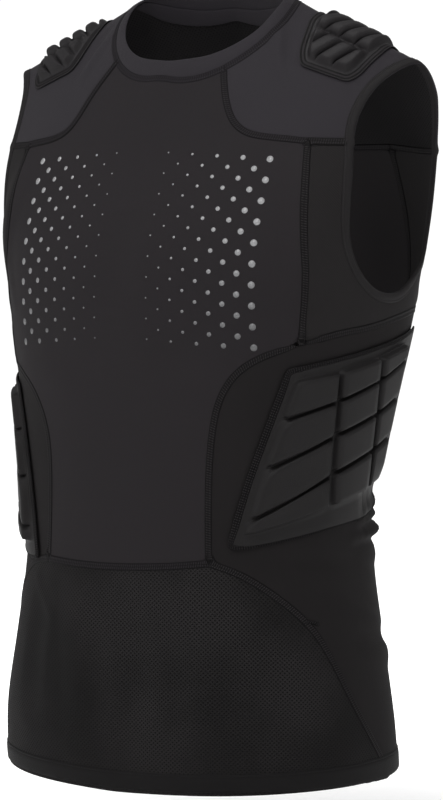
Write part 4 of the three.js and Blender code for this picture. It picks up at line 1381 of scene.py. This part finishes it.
for node in CLOTH_NODES:
    piece = cloth[node]
    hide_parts(node)
    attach(piece, "root")
    sewn = [obj for first, _, obj in seams if first == node]
    sewn += [obj for name, obj in hems.items() if HEM_OF[name][0] == node]
    if node == "front_center":
        sewn += chest_prints
    width, length, area = CUT[node]
    print(node, "cloth measures", round(area_of(piece), 4), "m2, cut", area)
for _, _, obj in seams:
    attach(obj, "root")
for name, obj in hems.items():
    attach(obj, "root")
    "hem_mesh" if name == "foot_hem" else "side_knit"
for obj in pad_stitches.values():
    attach(obj, "root")
for obj in chest_prints:
    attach(obj, "root")
for node in PAD_NODES:
    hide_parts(node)
    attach(pads[node], "root")

# %% [markdown]
# The studio is plain: a pale floor a little below the shirt, which hangs free as if it were worn,
# a white surround, and large soft lights. The broadest light stands high in front, so that the
# shoulders are a little lighter than the foot; weaker ones on both sides draw the seams and pads.

# %% Floor
floor_bm = bmesh.new()
bmesh.ops.create_circle(floor_bm, cap_ends=True, segments=96, radius=4.0)
bmesh.ops.translate(floor_bm, verts=floor_bm.verts, vec=(0, 0, -0.80))
floor = piece_from(floor_bm, "floor")
pale = Finish("pale_floor", Roughness=0.9, Specular_IOR_Level=0.0)
pale.colour(pale.blend(pale.cloudy(3.0), (0.90, 0.90, 0.90), (0.93, 0.93, 0.93)))
# The floor glows although it is no lamp: a painted glow, dim right under the shirt and full from about a
# metre out, so that it reads white farther off but sends little light up at the shirt's foot.
floor_place = pale.add("ShaderNodeTexCoord", None, None, output=3)
distance = pale.add("ShaderNodeVectorMath", {"operation": "LENGTH"}, {0: floor_place}, output=1)
away = distance.between(0.85, 1.3)
painted_floor_glow = pale.blend(away, (0.10, 0.10, 0.10), (1.0, 1.0, 1.0))
pale.tree.links.new(painted_floor_glow.socket, pale.shader.inputs["Emission Color"])
pale.shader.inputs["Emission Strength"].default_value = 0.9
dress(floor, pale.material)

# %% Surround and lights
world = bpy.data.worlds.new("white_surround")
bpy.context.scene.world = world
world.use_nodes = True
surround = world.node_tree.nodes["Background"]
surround.inputs["Color"].default_value = (1, 1, 1, 1)
path = world.node_tree.nodes.new("ShaderNodeLightPath")
seen = world.node_tree.nodes.new("ShaderNodeMapRange")
seen.inputs["To Min"].default_value = 0.33
seen.inputs["To Max"].default_value = 1.05
world.node_tree.links.new(path.outputs["Is Camera Ray"], seen.inputs["Value"])
world.node_tree.links.new(seen.outputs[0], surround.inputs["Strength"])


def soft_light(name, place, size, power):
    data = bpy.data.lights.new(name, "AREA")
    data.shape = "DISK"
    data.size = size
    data.energy = power
    light = bpy.data.objects.new(name, data)
    light.location = place
    light.rotation_euler = (Vector((0, 0, -0.35)) - light.location).to_track_quat("-Z", "Y").to_euler()
    bpy.context.scene.collection.objects.link(light)
    return light


soft_light("high_front", (0.35, -1.6, 1.5), 1.4, 37)
soft_light("above", (0.1, -0.3, 2.2), 1.6, 30)
soft_light("right_side", (2.6, -0.4, 0.5), 1.4, 15)
soft_light("left_side", (-2.3, -1.6, 0.6), 1.4, 22)
soft_light("behind", (0.6, 2.6, 1.2), 1.6, 12)
inner = bpy.data.lights.new("inner_glow", "POINT")
inner.shadow_soft_size = 0.05
inner.energy = 0.5
inner_light = bpy.data.objects.new("inner_glow", inner)
inner_light.location = (0, -0.01, -0.23)
inner_light.visible_camera = False
bpy.context.scene.collection.objects.link(inner_light)
bpy.context.scene.view_settings.view_transform = "Standard"
